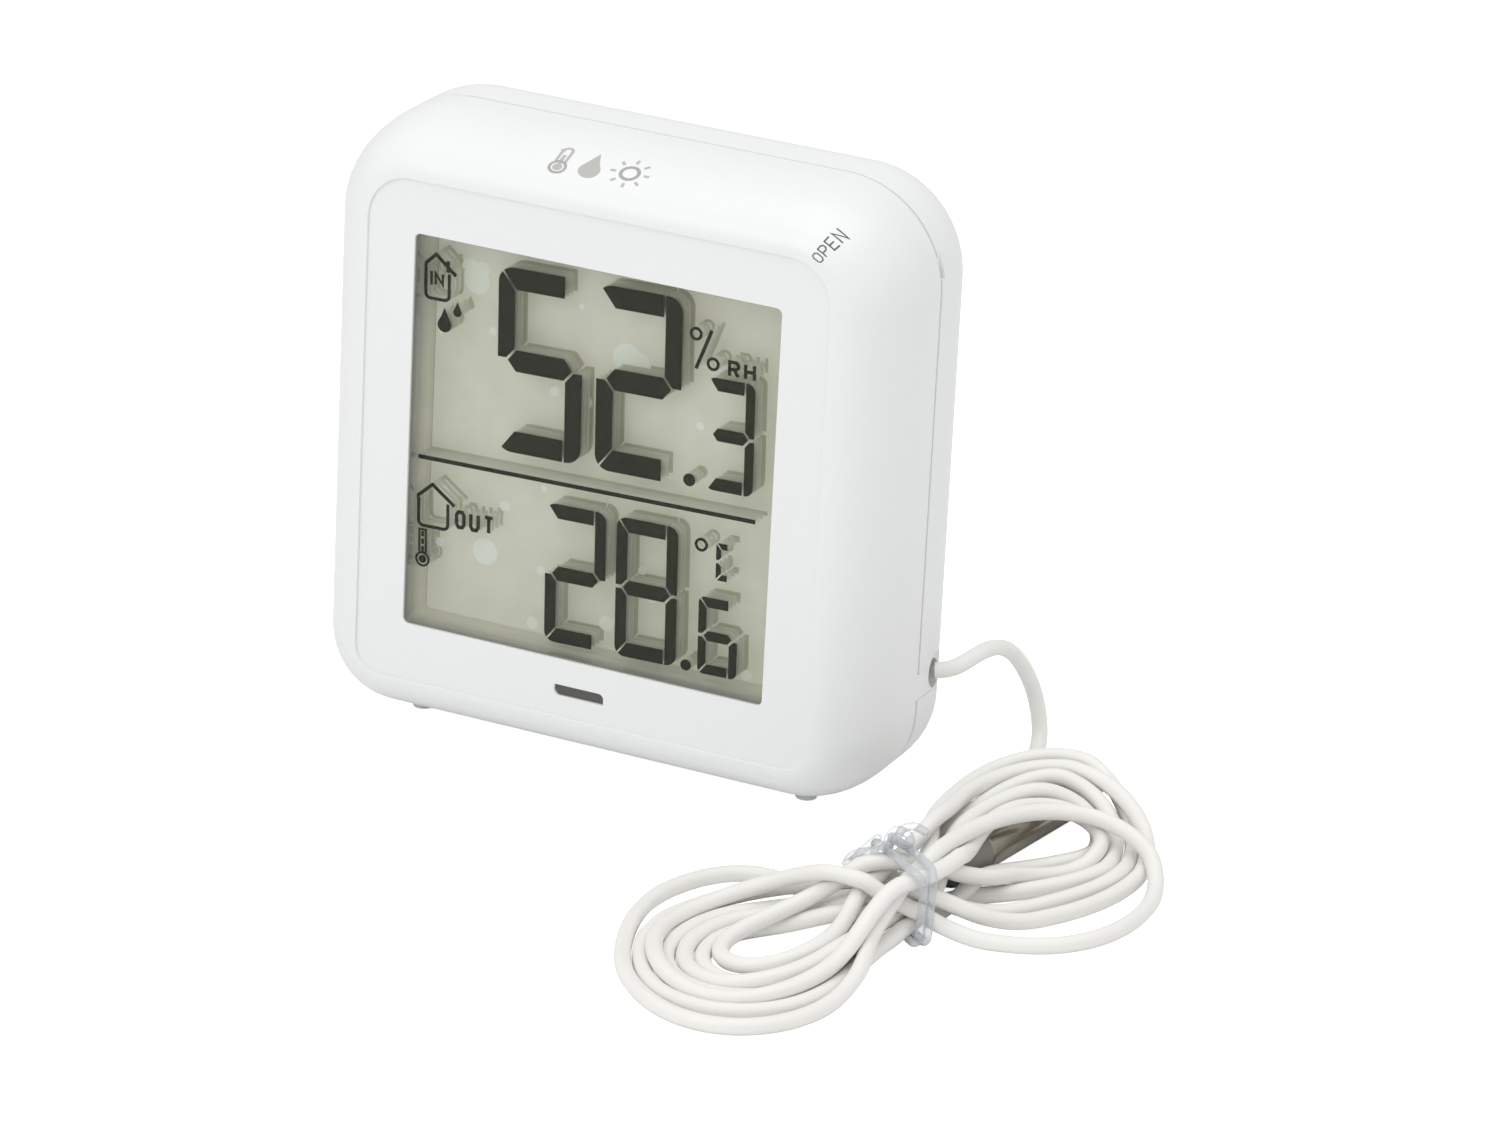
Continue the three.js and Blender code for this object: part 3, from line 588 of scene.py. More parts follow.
    def stay_in_tie(self):
        """Draws the strands together near the tie, and keeps them between its lowest and highest place."""
        rel = self.p[:, :2] - TIE_CENTRE
        along, across = np.abs(rel @ TIE_ALONG), rel @ TIE_ACROSS
        limit = self.TIE_HALF_WIDTH + self.TIE_SPREAD * np.clip(along - 2, 0, None) ** 2
        over = np.clip(np.abs(across) - limit, 0, None) * np.sign(across)
        hit = (along < 9) & (self.free > 0) & (np.abs(across) < 20)
        self.p[hit, :2] -= (over[hit] * self.TIE_PULL)[:, None] * TIE_ACROSS
        held = (along < 2.6) & (self.free > 0) & (np.abs(across) < 12)
        self.p[held, 2] = np.clip(self.p[held, 2], TIE_LOW + CORD_RADIUS, TIE_HIGH - CORD_RADIUS)

    def space_out(self):
        """Slides points along the cord until they are evenly spaced."""
        for _ in range(self.EVENING_ROUNDS):
            run = unit_rows(np.gradient(self.p, axis=0))
            uneven = np.zeros_like(self.p)
            uneven[1:-1] = self.p[:-2] + self.p[2:] - 2 * self.p[1:-1]
            self.p += run * ((uneven * run).sum(1) * 0.25 * self.free)[:, None]


def make_cord():
    line = smooth_curve(wound_keys())
    line[:, 2] = np.maximum(line[:, 2], CORD_RADIUS)
    line = CordRelaxation(evenly(line, CORD_STEP)).run(SETTLING_STEPS)
    data = bpy.data.curves.new("probe_cord", "CURVE")
    data.dimensions = "3D"
    data.bevel_depth = CORD_RADIUS * MM
    data.bevel_resolution = 3
    data.use_fill_caps = True
    data.resolution_u = 2
    spline = data.splines.new("NURBS")
    spline.points.add(len(line) - 1)
    spline.order_u = 4
    spline.use_endpoint_u = True
    for point, place in zip(spline.points, line * MM):
        point.co = (*place, 1)
    data.materials.append(CORD)
    cord = placed("probe_cord", data)
    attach(cord, "case")
    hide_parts("cord_lead", "cord_hank")
    length = np.linalg.norm(np.diff(line, axis=0), axis=1).sum()
    return cord, line, length


cord, cord_line, cord_length = make_cord()


# ---- Case form, as in the CAD part ----
HALF_WIDTH, CASE_TOP = 42.5, 87.4
FRONT, BACK, SEAM = -14.25, 14.25, 2.75
FRONT_CURVE, BACK_CURVE, BACK_INSET = 14.2, 7, 4.5
INSET_SIDE, INSET_TOP, INSET_BOTTOM = 7.9, 6.85, 6.8
CORNER_TOP, CORNER_BOTTOM = 14.5, 12
FOOT_HEIGHT, FOOT_RADIUS = 1.5, 1.6
FOOT_COLUMNS, FRONT_FEET, REAR_FEET = (-29.5, 29.5), -2.75, 8.5
POST_COLUMNS, POST_ROWS = (-33, 33), (20, 47, 72)
BUTTON_COLUMNS, BUTTON_ROW = (-18, 0, 18), 62
SLOT_COLUMNS, SLOT_ROW = (-12, -6, 0, 6, 12), 15
PANEL_FACE, PANEL_INSIDE, BACK_INSIDE = FRONT + 0.4, FRONT + 2, BACK - 1.8
WALL_FRONT, WALL_REAR, PANEL_MARGIN, GAP = 1.9, 1.8, 0.3, 0.3
BACK_SHRINK = BACK_INSET / INSET_SIDE
CORNER_STEPS = 14
CABLE_HOLE = {"y": 9.0, "z": 17.1, "radius": 1.95}
TONGUE_GAP = 0.05
DISH = {"y": 9.4, "z": 17.7, "radius": 3.2, "depth": 1.0}
WINDOW = {"x": 0, "z": 44.8, "width": 54.5, "height": 56, "radii": [0.8] * 4}
VENT = {"x": 0, "z": 12.3, "width": 7.4, "height": 1.5, "radii": [0.02, 0.75, 0.02, 0.75]}


def case_ring(y, shrink, wall):
    """The case outline at one depth. shrink is 0 at the full outline and 1 at the panel's edge."""
    side = HALF_WIDTH - INSET_SIDE * shrink - wall
    top = CASE_TOP - INSET_TOP * shrink - wall
    bottom = FOOT_HEIGHT + INSET_BOTTOM * shrink + wall
    points = []
    for corner, base in enumerate((CORNER_TOP, CORNER_TOP, CORNER_BOTTOM, CORNER_BOTTOM)):
        r = base - INSET_SIDE * shrink - wall
        x = (side - r) * (1 if corner in (0, 3) else -1)
        z = top - r if corner < 2 else bottom + r
        for i in range(CORNER_STEPS + 1):
            a = (corner + i / CORNER_STEPS) * math.pi / 2
            points.append((x + r * math.cos(a), y, z + r * math.sin(a)))
    return points


def shrink_at(y):
    into_front = 1 - (y - FRONT) / FRONT_CURVE
    into_back = 1 - (BACK - y) / BACK_CURVE
    if into_front > 0:
        return 1 - math.sqrt(1 - min(into_front, 1) ** 2)
    if into_back > 0:
        return BACK_SHRINK * (1 - math.sqrt(1 - min(into_back, 1) ** 2))
    return 0.0


def depths(start, span, steps):
    """Depths along a quarter ellipse that is steep at its near end."""
    return [start + span * (1 - math.cos(math.pi / 2 * i / steps)) for i in range(steps + 1)]


def skin_ring(y, wall=0.0):
    return case_ring(y, shrink_at(y), wall)


def holed_plate(bm, outer_face, outer_back, holes, face_y, back_y, lip):
    """Closes a shell with a plate: faces with holes, and each hole's wall with a small rounded lip."""
    inwards = math.copysign(1, back_y - face_y)
    levels = [(face_y, lip), (face_y + inwards * lip * 0.3, lip * 0.3), (face_y + inwards * lip, 0.0),
              (back_y, 0.0)]
    fronts, backs = [], []
    for hole in holes:
        loops = skin(bm, layers(hole, levels))
        fronts.append(loops[0])
        backs.append(loops[-1])
    fill(bm, [outer_face] + fronts)
    fill(bm, [outer_back] + backs)


def closed_band(bm, profile):
    """A closed band round the case. The profile is (y, wall) on the curved outline."""
    skin(bm, [case_ring(y, 0, wall) for y, wall in profile], closed=True)


def prism_x(bm, outline, x_inner, x_outer):
    """A solid along X with its outline in (y, z); the outer end follows x_outer(y)."""
    capped(bm, [[(x_inner, y, z) for y, z in outline], [(x_outer(y), y, z) for y, z in outline]])


def make_feet(bm, y):
    top = FOOT_HEIGHT + 1
    profile = [(0, 0), (FOOT_RADIUS * 0.55, 0), (FOOT_RADIUS * 0.9, 0.2), (FOOT_RADIUS, 0.6),
               (FOOT_RADIUS, top), (0, top)]
    for x in FOOT_COLUMNS:
        turned(bm, profile, (x, y, 0), (0, 0, 1), 24)


def make_posts(bm):
    """Screw posts that stand on the panel, with blind holes."""
    outer, hole, edge = 2.6, 1.15, 0.15
    start, floor, end = PANEL_INSIDE - 0.3, PANEL_INSIDE + 1.4, -4.4
    profile = [(0, start), (outer, start), (outer, end - edge), (outer - edge, end), (hole + edge, end),
               (hole, end - edge), (hole, floor), (0, floor)]
    for z in POST_ROWS:
        for x in POST_COLUMNS:
            turned(bm, profile, (x, 0, z), (0, 1, 0), 24)


def make_tongue(bm):
    """Closes the rear cover's cable notch up to the hole."""
    half, clear = CABLE_HOLE["radius"] - TONGUE_GAP, CABLE_HOLE["radius"] + TONGUE_GAP
    reach = math.acos(math.sqrt(clear**2 - half**2) / clear)
    angles = [math.pi + reach - 2 * reach * i / 10 for i in range(11)]
    y, z = CABLE_HOLE["y"], CABLE_HOLE["z"]
    outline = [(SEAM - 1, z + half), (SEAM - 1, z - half)]
    outline += [(y + clear * math.cos(a), z + clear * math.sin(a)) for a in angles]
    prism_x(bm, outline, HALF_WIDTH - 3.2, lambda y: HALF_WIDTH - INSET_SIDE * shrink_at(y) - 0.02)


def flatten(obj):
    """Keeps flat faces evenly shaded up to their rounded edges."""
    even = obj.modifiers.new("even_shading", "WEIGHTED_NORMAL")
    even.keep_sharp = True


def make_front_housing():
    bm = bmesh.new()
    lip = 0.12
    panel_edge = [(PANEL_FACE, 0), (FRONT + lip, 0), (FRONT + lip * 0.3, lip * 0.3), (FRONT, lip)]
    rings = [case_ring(y, 1, PANEL_MARGIN - out) for y, out in panel_edge]
    rings += [skin_ring(y) for y in depths(FRONT, FRONT_CURVE, 26)]
    seam_edge = [(SEAM - 0.3, 0.0), (SEAM - 0.1, 0.06), (SEAM, 0.28), (SEAM, WALL_FRONT)]
    rings += [skin_ring(y, wall) for y, wall in seam_edge]
    rings += [skin_ring(y, WALL_FRONT) for y in (-3, -6, -8.5, -10.5, PANEL_INSIDE)]
    loops = skin(bm, rings)
    holed_plate(bm, loops[0], loops[-1], [WINDOW, VENT], PANEL_FACE, PANEL_INSIDE, lip)
    rim_root, rim, rim_inside = WALL_FRONT - 0.4, WALL_REAR + 0.4, WALL_REAR + 1.4
    closed_band(bm, [(SEAM - 3.5, rim_root), (SEAM - 0.4, rim_root), (SEAM - 0.4, rim), (SEAM + 2.2, rim),
                     (SEAM + 2.4, rim + 0.2), (SEAM + 2.4, rim_inside), (SEAM - 3.5, rim_inside)])
    make_tongue(bm)
    make_posts(bm)
    make_feet(bm, FRONT_FEET)
    housing = from_bmesh(bm, "front_shell", WHITE)
    cut_away(housing, cutter("cut_front_dish", dish_ball))
    flatten(housing)
    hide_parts("front_housing")


def rear_holes():
    buttons = [{"x": x, "z": BUTTON_ROW, "width": 10.8, "height": 5.8, "radii": [2.2] * 4}
               for x in BUTTON_COLUMNS]
    slots = [{"x": x, "z": SLOT_ROW, "width": 1.5, "height": 9, "radii": [0.74] * 4} for x in SLOT_COLUMNS]
    return buttons + slots


def cutter(name, build):
    bm = bmesh.new()
    build(bm)
    bmesh.ops.recalc_face_normals(bm, faces=bm.faces)
    return as_object(bm, name)


def cut_away(obj, *tools):
    """Takes the tools' space out of a piece, and removes the tools."""
    for tool in tools:
        change = obj.modifiers.new("cut", "BOOLEAN")
        change.object = tool
        change.operation = "DIFFERENCE"
        change.solver = "EXACT"
    evaluated = obj.evaluated_get(bpy.context.evaluated_depsgraph_get())
    mesh = bpy.data.meshes.new_from_object(evaluated)
    obj.modifiers.clear()
    old = obj.data
    obj.data = mesh
    bpy.data.meshes.remove(old)
    for tool in tools:
        bpy.data.meshes.remove(tool.data)
    mesh.set_sharp_from_angle(angle=SHARP)


def box_prism(x0, x1, y0, y1, z0, z1):
    return lambda bm: prism_x(bm, [(y0, z0), (y1, z0), (y1, z1), (y0, z1)], x0, lambda y: x1)


def dish_ball(bm):
    """A ball that leaves a shallow dish round the cable hole."""
    radius = (DISH["radius"] ** 2 + DISH["depth"] ** 2) / (2 * DISH["depth"])
    centre = (HALF_WIDTH - DISH["depth"] + radius, DISH["y"], DISH["z"])
    profile = [(radius * math.sin(a), -radius * math.cos(a)) for a in np.linspace(0, math.pi, 40)]
    profile[0], profile[-1] = (0, -radius), (0, radius)
    turned(bm, profile, centre, (1, 0, 0), 64)


def rod_x(radius, x0, x1):
    profile = [(0, x0), (radius, x0), (radius, x1), (0, x1)]
    return lambda bm: turned(bm, profile, (0, CABLE_HOLE["y"], CABLE_HOLE["z"]), (1, 0, 0), 40)


def make_rear_cover():
    bm = bmesh.new()
    start = SEAM + GAP
    rings = [skin_ring(start, 0.28), skin_ring(start + 0.1, 0.06), skin_ring(start + 0.3)]
    rings += [skin_ring(y) for y in reversed(depths(BACK, -BACK_CURVE, 20))]
    inner = [skin_ring(y, WALL_REAR) for y in (BACK_INSIDE, 11.6, 10.4, BACK - BACK_CURVE, start)]
    outer_loops = skin(bm, rings)
    inner_loops = skin(bm, inner)
    bridge(bm, inner_loops[-1], outer_loops[0])
    holed_plate(bm, outer_loops[-1], inner_loops[0], rear_holes(), BACK, BACK_INSIDE, 0.2)
    make_feet(bm, REAR_FEET)
    cover = from_bmesh(bm, "back_shell", WHITE, "rear_cover")
    y, z, half = CABLE_HOLE["y"], CABLE_HOLE["z"], CABLE_HOLE["radius"]
    inside, outside = 36, 46
    notch = box_prism(inside, outside, SEAM - 1, y, z - half, z + half)
    pry = box_prism(41.4, 44, SEAM - 1, SEAM + 1.1, 75, 78.4)
    cut_away(cover, cutter("cut_notch", notch), cutter("cut_hole", rod_x(half, inside, outside)),
             cutter("cut_pry", pry), cutter("cut_dish", dish_ball))
    flatten(cover)
    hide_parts("rear_cover")


make_front_housing()
make_rear_cover()


# ---- Buttons ----
def make_button(name, x):
    bm = bmesh.new()
    head = {"x": x, "z": BUTTON_ROW, "width": 10.2, "height": 5.2, "radii": [2.0] * 4}
    collar = {"x": x, "z": BUTTON_ROW, "width": 12.6, "height": 7.6, "radii": [2.4] * 4}
    low, shoulder, radius = 10.6, BACK_INSIDE - 0.35, 0.7
    start, top = (corner[1] for corner in node_box(f"button_{name}"))
    rings = layers(collar, [(low, -0.15), (low + 0.15, 0.0), (shoulder, 0.0)])
    rings += layers(head, [(shoulder, 0.0)])
    turns = [math.pi / 2 * i / 6 for i in range(7)]
    rings += layers(head, [(top - radius + radius * math.sin(a), -radius * (1 - math.cos(a))) for a in turns])
    rings += layers(head, [(top - 0.12 * (inset - radius), -inset) for inset in (1.2, 1.8)])
    capped(bm, rings)
    stem = [(0, start), (1.3, start), (1.5, start + 0.2), (1.5, 10.9), (0, 10.9)]
    turned(bm, stem, (x, 0, BUTTON_ROW), (0, 1, 0), 20)
    cap = from_bmesh(bm, f"cap_{name}", WHITE, f"{name}_button")
    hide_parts(f"button_{name}")


for column, button in zip(BUTTON_COLUMNS, ("max_min", "reset", "unit")):
    make_button(button, column)


# ---- Display ----
LENS_FACE, LENS_BACK = PANEL_FACE + 0.25, PANEL_INSIDE
SEGMENT_Y, SEGMENT_THICK = -11.1, 0.05
# Depths of the copies of the figures that paint the segments' shadows and reflections, between the segments
# and the reflector.
PAINTED_SHADOW_DEPTHS, PAINTED_SHADOW_THICK = (-9.9, -8.7), 0.02
REFLECTOR_FACE = node_box("lcd_reflector")[0][1]
LINING_BACK = REFLECTOR_FACE - 0.05
# Painted shade of the display's recess with a faint painted glow: dark by the window and lighter towards the
# reflector.
LINING_PAINTED_SHADE = painted_edge_shade("display_lining_painted_shade", (0.2, 0.2, 0.178), (0.62, 0.62, 0.55), LENS_FACE * MM, LINING_BACK * MM)
PATTERN_Z = WINDOW["z"]
PATTERN_TILT = math.radians(1.4)
SEGMENT_GAP = 0.26


def make_lens():
    size = {"x": 0, "z": PATTERN_Z, "width": 53.9, "height": 55.4, "radii": [0.5] * 4}
    edge = 0.15
    bm = bmesh.new()
    capped(bm, layers(size, [(LENS_FACE, -edge), (LENS_FACE + edge, 0.0), (LENS_BACK, 0.0)]))
    lens = from_bmesh(bm, "window_lens", LENS)
    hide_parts("display_window")


def arc(x, z, radius, start, end, steps=6):
    """Points on a circle; angles in quarter turns from +X."""
    angles = [math.pi / 2 * (start + (end - start) * i / steps) for i in range(steps + 1)]
    return [(x + radius * math.cos(a), z + radius * math.sin(a)) for a in angles]


def digit(box, across, along, lit, round_by=0.9):
    """Seven-segment figure as polygons. across and along are the widths of upright and level strokes."""
    x0, z0, x1, z1 = box
    mid, g, r = (z0 + z1) / 2, SEGMENT_GAP, round_by
    half = along / 2
    inner_left, inner_right = x0 + across, x1 - across
    left, right = x0 + across / 2, x1 - across / 2
    spare = g / r / math.pi  # half a gap, in quarter turns of the rounded corner
    shapes = {}
    for level, upright, edge, way in (("a", "f", z1, 1), ("d", "e", z0, -1)):
        centre = (x0 + r, edge - way * r)
        inside = edge - way * along
        near_mid, slant = mid + way * g, mid + way * (half + g * 0.8)
        shapes[level] = arc(*centre, r, way, way * (1.5 - spare))
        shapes[level] += [(inner_left + g * 0.7, inside), (inner_right - g, inside), (inner_right - g, edge)]
        shapes[upright] = arc(*centre, r, way * (1.5 + spare), way * 2)
        shapes[upright] += [(x0, near_mid), (left, near_mid), (inner_left, slant),
                            (inner_left, inside - way * g * 0.7)]
    for name, edge, way in (("b", z1, 1), ("c", z0, -1)):
        near_mid, slant = mid + way * g, mid + way * (half + g * 0.8)
        shapes[name] = arc(x1 - r, edge - way * r, r, 0, way)
        shapes[name] += [(inner_right, edge), (inner_right, slant), (right, near_mid), (x1, near_mid)]
    shapes["g"] = [(left + g, mid), (inner_left + g, mid + half), (inner_right - g, mid + half),
                   (right - g, mid), (inner_right - g, mid - half), (inner_left + g, mid - half)]
    return [shapes[key] for key in lit]


def stroke(points, width, closed=False):
    """A line of even width: one polygon, or quads round a closed line."""
    p = [Vector(q) for q in points]
    count = len(p)
    sides = []
    for i in range(count):
        before = p[i] - p[i - 1] if i or closed else p[1] - p[0]
        after = p[(i + 1) % count] - p[i] if i + 1 < count or closed else before
        a, b = before.normalized(), after.normalized()
        mitre = (a + b).normalized() if (a + b).length > 1e-6 else a
        out = Vector((-mitre.y, mitre.x)) * (width / 2 / max(mitre.dot(a), 0.4))
        sides.append((tuple(p[i] + out), tuple(p[i] - out)))
    if not closed:
        return [[s[0] for s in sides] + [s[1] for s in reversed(sides)]]
    pairs = zip(sides, sides[1:] + sides[:1])
    return [[s[0], e[0], e[1], s[1]] for s, e in pairs]


def ring_shape(x, z, radius, width):
    return stroke(arc(x, z, radius - width / 2, 0, 4, 24)[:-1], width, closed=True)


def disc(x, z, radius, steps=16):
    return [arc(x, z, radius, 0, 4, steps)[:-1]]


def house(apex, eaves_left, eaves_right, body_left, body_right, bottom):
    """An outlined house: a roof line, and walls with a rounded floor."""
    r, width = 0.7, 0.5
    walls = [(body_left, eaves_left[1] + 0.1)]
    walls += arc(body_left + r, bottom + r, r, 2, 3)
    walls += arc(body_right - r, bottom + r, r, 3, 4)
    walls.append((body_right, eaves_right[1] + 0.1))
    return stroke([eaves_left, apex, eaves_right], width) + stroke(walls, width * 0.9)


LETTERS = {
    "P": [[(0, 0), (0, 1), (0.7, 1), (1, 0.85), (1, 0.6), (0.7, 0.45), (0, 0.45)]],
    "E": [[(1, 1), (0, 1), (0, 0), (1, 0)], [(0, 0.5), (0.85, 0.5)]],
    "N": [[(0, 0), (0, 1), (1, 0), (1, 1)]],
    "O": [[(0, 0.2), (0, 0.8), (0.25, 1), (0.75, 1), (1, 0.8), (1, 0.2), (0.75, 0), (0.25, 0), (0, 0.2)]],
    "U": [[(0, 1), (0, 0.2), (0.25, 0), (0.75, 0), (1, 0.2), (1, 1)]],
    "T": [[(0, 1), (1, 1)], [(0.5, 1), (0.5, 0)]],
    "R": [[(0, 0), (0, 1), (0.75, 1), (1, 0.8), (1, 0.65), (0.75, 0.48), (0, 0.48)], [(0.5, 0.48), (1, 0)]],
    "H": [[(0, 0), (0, 1)], [(1, 0), (1, 1)], [(0, 0.5), (1, 0.5)]],
}


def word(text, x0, z0, x1, z1, width, space=0.34):
    """Capital letters drawn with strokes, spread over a box."""
    pitch = (x1 - x0) / (len(text) - space / (1 + space))
    wide, high = pitch / (1 + space) - width, z1 - z0 - width
    shapes = []
    for k, letter in enumerate(text):
        left = x0 + pitch * k + width / 2
        for line in LETTERS[letter]:
            shapes += stroke([(left + x * wide, z0 + width / 2 + z * high) for x, z in line], width)
    return shapes


def drop(x, tip, bottom, width):
    r = width / 2
    points = [(x, tip), (x - r * 0.5, bottom + r * 2.1)] + arc(x, bottom + r, r, 1.75, 4.25, 12)
    return [points + [(x + r * 0.5, bottom + r * 2.1)]]


def display_shapes():
    """All that the display shows, as (x, z) outlines round the window's centre."""
    shapes = stroke([(-28.8, -3.95), (23.6, -3.95)], 0.6)
    shapes += digit((-15.3, -0.8, -2.6, 25.3), 2.5, 3.05, "afgcd", 2.2)
    shapes += digit((-0.45, -0.8, 12.2, 25.3), 2.5, 3.05, "abged", 2.2)
    shapes += digit((16.1, -0.6, 23.1, 15.2), 1.35, 1.8, "abgcd", 1.2)
    shapes += disc(13.7, 0.2, 0.9)
    shapes += ring_shape(14.2, 20.8, 0.95, 0.4) + ring_shape(16.8, 17.0, 0.95, 0.4)
    shapes += stroke([(16.5, 21.6), (14.3, 16)], 0.5)
    shapes += word("RH", 19, 15.6, 23.1, 18, 0.45)
    shapes += house((-24.8, 25.2), (-26.7, 23.4), (-21.8, 22.6), -26.35, -22.8, 18.9)
    shapes += stroke([(-23, 22.9), (-23, 24.5)], 0.5)
    shapes += stroke([(-25.5, 20.8), (-25.5, 22.7)], 0.36) + word("N", -25.05, 20.8, -23.6, 22.7, 0.36)
    shapes += drop(-23.45, 17.9, 14.4, 2.1) + drop(-21.5, 18.9, 16.9, 1.25)
    shapes += house((-25, -7.65), (-27.6, -9.9), (-21.6, -10.2), -27.1, -22.6, -13.8)
    shapes += word("OUT", -21.5, -13.3, -15.5, -10.6, 0.5)
    shapes += stroke([(-26.95, -17.7), (-26.95, -14.4), (-25.95, -14.4), (-25.95, -17.7)], 0.3)
    shapes += ring_shape(-26.45, -18.7, 1.1, 0.3) + disc(-26.45, -18.7, 0.57)
    for low in (-17.6, -16.5, -15.4):
        shapes += stroke([(-26.45, low), (-26.45, low + 0.75)], 0.4)
    shapes += digit((-7.6, -26.8, 1.5, -6.9), 1.65, 2.05, "abged", 1.5)
    shapes += digit((3.1, -26.8, 12.3, -6.9), 1.65, 2.05, "abcdefg", 1.5)
    shapes += digit((15.6, -26.9, 21.4, -15.9), 1.17, 1.4, "afgedc")
    shapes += disc(13.85, -26.2, 0.78)
    shapes += ring_shape(15.75, -8.6, 0.97, 0.38)
    shapes += digit((18, -13.2, 20.6, -7.9), 0.72, 0.85, "afed", 0.4)
    return shapes


def turned_pattern(points):
    cos, sin = math.cos(PATTERN_TILT), math.sin(PATTERN_TILT)
    return [(x * cos - z * sin, x * sin + z * cos + PATTERN_Z) for x, z in points]


def plates(bm, outlines, front, back):
    """Thin closed plates that face the front, each a little ahead of the one before."""
    for k, outline in enumerate(outlines):
        face = add_loop(bm, at_depth(outline, front - 0.0004 * k))
        bm.faces.new(face)
        behind = add_loop(bm, at_depth(outline, back))
        bridge(bm, face, behind)
        bm.faces.new(list(reversed(behind)))


def film(name, material, outlines, front, back):
    bm = bmesh.new()
    plates(bm, outlines, front, back)
    bmesh.ops.recalc_face_normals(bm, faces=bm.faces)
    obj = as_object(bm, name)
    obj.data.materials.append(material)
    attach(obj, "case")
    return obj


# Trapped air between the glass and the reflector: (x, z, radius) round the window's centre. They are drawn as
# lighter, faintly glowing discs, which are painted highlights.
BUBBLES = [
    (-21.0, 20.6, 1.9), (-22.1, 22.3, 1.3), (-20.2, 22.4, 1.1), (-17.3, 21.6, 0.5), (-5.2, 20.1, 0.4),
    (1.9, 14.2, 2.1), (3.7, 13.6, 1.8), (2.3, 12.9, 1.9), (-4.0, 6.8, 1), (-8.7, 7.4, 0.7),
    (-18.3, 14, 0.6), (-26.2, 12.6, 0.5), (-25.3, 22.1, 0.7), (13.2, 6.9, 0.6), (17.9, 15.2, 0.5),
    (-5.2, -1, 0.5), (-15.6, -10.6, 0.8), (-9.7, -6.8, 0.5), (-18.3, -17.8, 1.9), (-21.1, -12.5, 0.5),
    (-9.7, -18.7, 0.7), (-10.7, -26.6, 0.9), (0.5, -24.2, 1.1), (2.3, -23.6, 0.8), (7.1, -18.9, 0.9),
    (21.8, -27.0, 0.8), (-24.9, -10.4, 0.8), (-25.3, -17.9, 0.7), (5.6, -15.4, 0.6), (10, -9.5, 0.7),
]


def make_lining_painted_shade():
    """The dark edge of the display: a lining from the window's edge back to the reflector, coloured as
    painted shade of the display's recess.
    """
    bm = bmesh.new()
    outer, inner, start = -0.02, -0.12, LENS_FACE + 0.1
    rings = layers(WINDOW, [(start, outer), (start, inner), (LINING_BACK, inner), (LINING_BACK, outer)])
    skin(bm, rings, closed=True)
    from_bmesh(bm, "display_lining_painted_shade", LINING_PAINTED_SHADE)


def make_vent():
    """Grey filling of the air slot, nearly flush with the panel, on the flange behind it."""
    low, high = node_box("vent_insert")
    bm = bmesh.new()
    flange = {**VENT, "width": high[0] - low[0], "height": high[2] - low[2]}
    nose = {**VENT, "width": VENT["width"] - 0.1, "height": VENT["height"] - 0.1}
    rings = layers(nose, [(PANEL_FACE + 0.35, 0.0), (low[1], 0.0)])
    capped(bm, rings + layers(flange, [(low[1], 0.0), (high[1], 0.0)]))
    vent = from_bmesh(bm, "vent_fill", VENT_GREY)
    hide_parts("vent_insert")


def make_display():
    make_lens()
    make_lining_painted_shade()
    outlines = [turned_pattern(s) for s in display_shapes()]
    film("display_segments", SEGMENT, outlines, SEGMENT_Y, SEGMENT_Y + SEGMENT_THICK)
    # Painted shadows and reflections of the segments: copies of the figures at depths behind them, which cast
    # no shadow themselves.
    for k, y in enumerate((*PAINTED_SHADOW_DEPTHS, REFLECTOR_FACE - 0.03)):
        shadow_copy = film(f"segment_painted_shadow_{k + 1}", PAINTED_SHADOWS[k], outlines, y, y + PAINTED_SHADOW_THICK)
        shadow_copy.visible_shadow = False
    bubbles = [outline for x, z, r in BUBBLES for outline in disc(x, z + PATTERN_Z, r, 20)]
    film("film_bubbles", BUBBLE_PAINTED_GLOW, bubbles, REFLECTOR_FACE - 0.07, REFLECTOR_FACE - 0.04)


make_display()
make_vent()


# ---- Printed marks on the curved edge ----
INK_ABOVE, INK_BELOW = 0.025, 0.05


def on_top_slope(u, v, lift):
    """A point on the top's curve: u along X, v up the slope from the panel's side, in millimetres."""
    turn = math.radians(37) + v / 11.7
    y = FRONT + FRONT_CURVE * (1 - math.cos(turn))
    z = CASE_TOP - INSET_TOP * (1 - math.sin(turn))
    normal = Vector((0, -math.cos(turn) / FRONT_CURVE, math.sin(turn) / INSET_TOP)).normalized()
    return Vector((u, y, z)) + normal * lift


def on_corner(u, v, lift):
    """A point on the upper right corner: u from the panel to the back, v round the corner, in millimetres."""
    turn = math.radians(8.5 + 5.65 * u)
    round_corner = math.radians(55.3 + 5.8 * v)
    shrink = 1 - math.sin(turn)
    r = CORNER_TOP - INSET_SIDE * shrink
    x = HALF_WIDTH - INSET_SIDE * shrink - r + r * math.cos(round_corner)
    z = CASE_TOP - INSET_TOP * shrink - r + r * math.sin(round_corner)
    y = FRONT + FRONT_CURVE * (1 - math.cos(turn))
    out, ahead = math.sin(turn) / INSET_SIDE, -math.cos(turn) / FRONT_CURVE
    normal = Vector((math.cos(round_corner) * out, ahead, math.sin(round_corner) * out))
    return Vector((x, y, z)) + normal.normalized() * lift


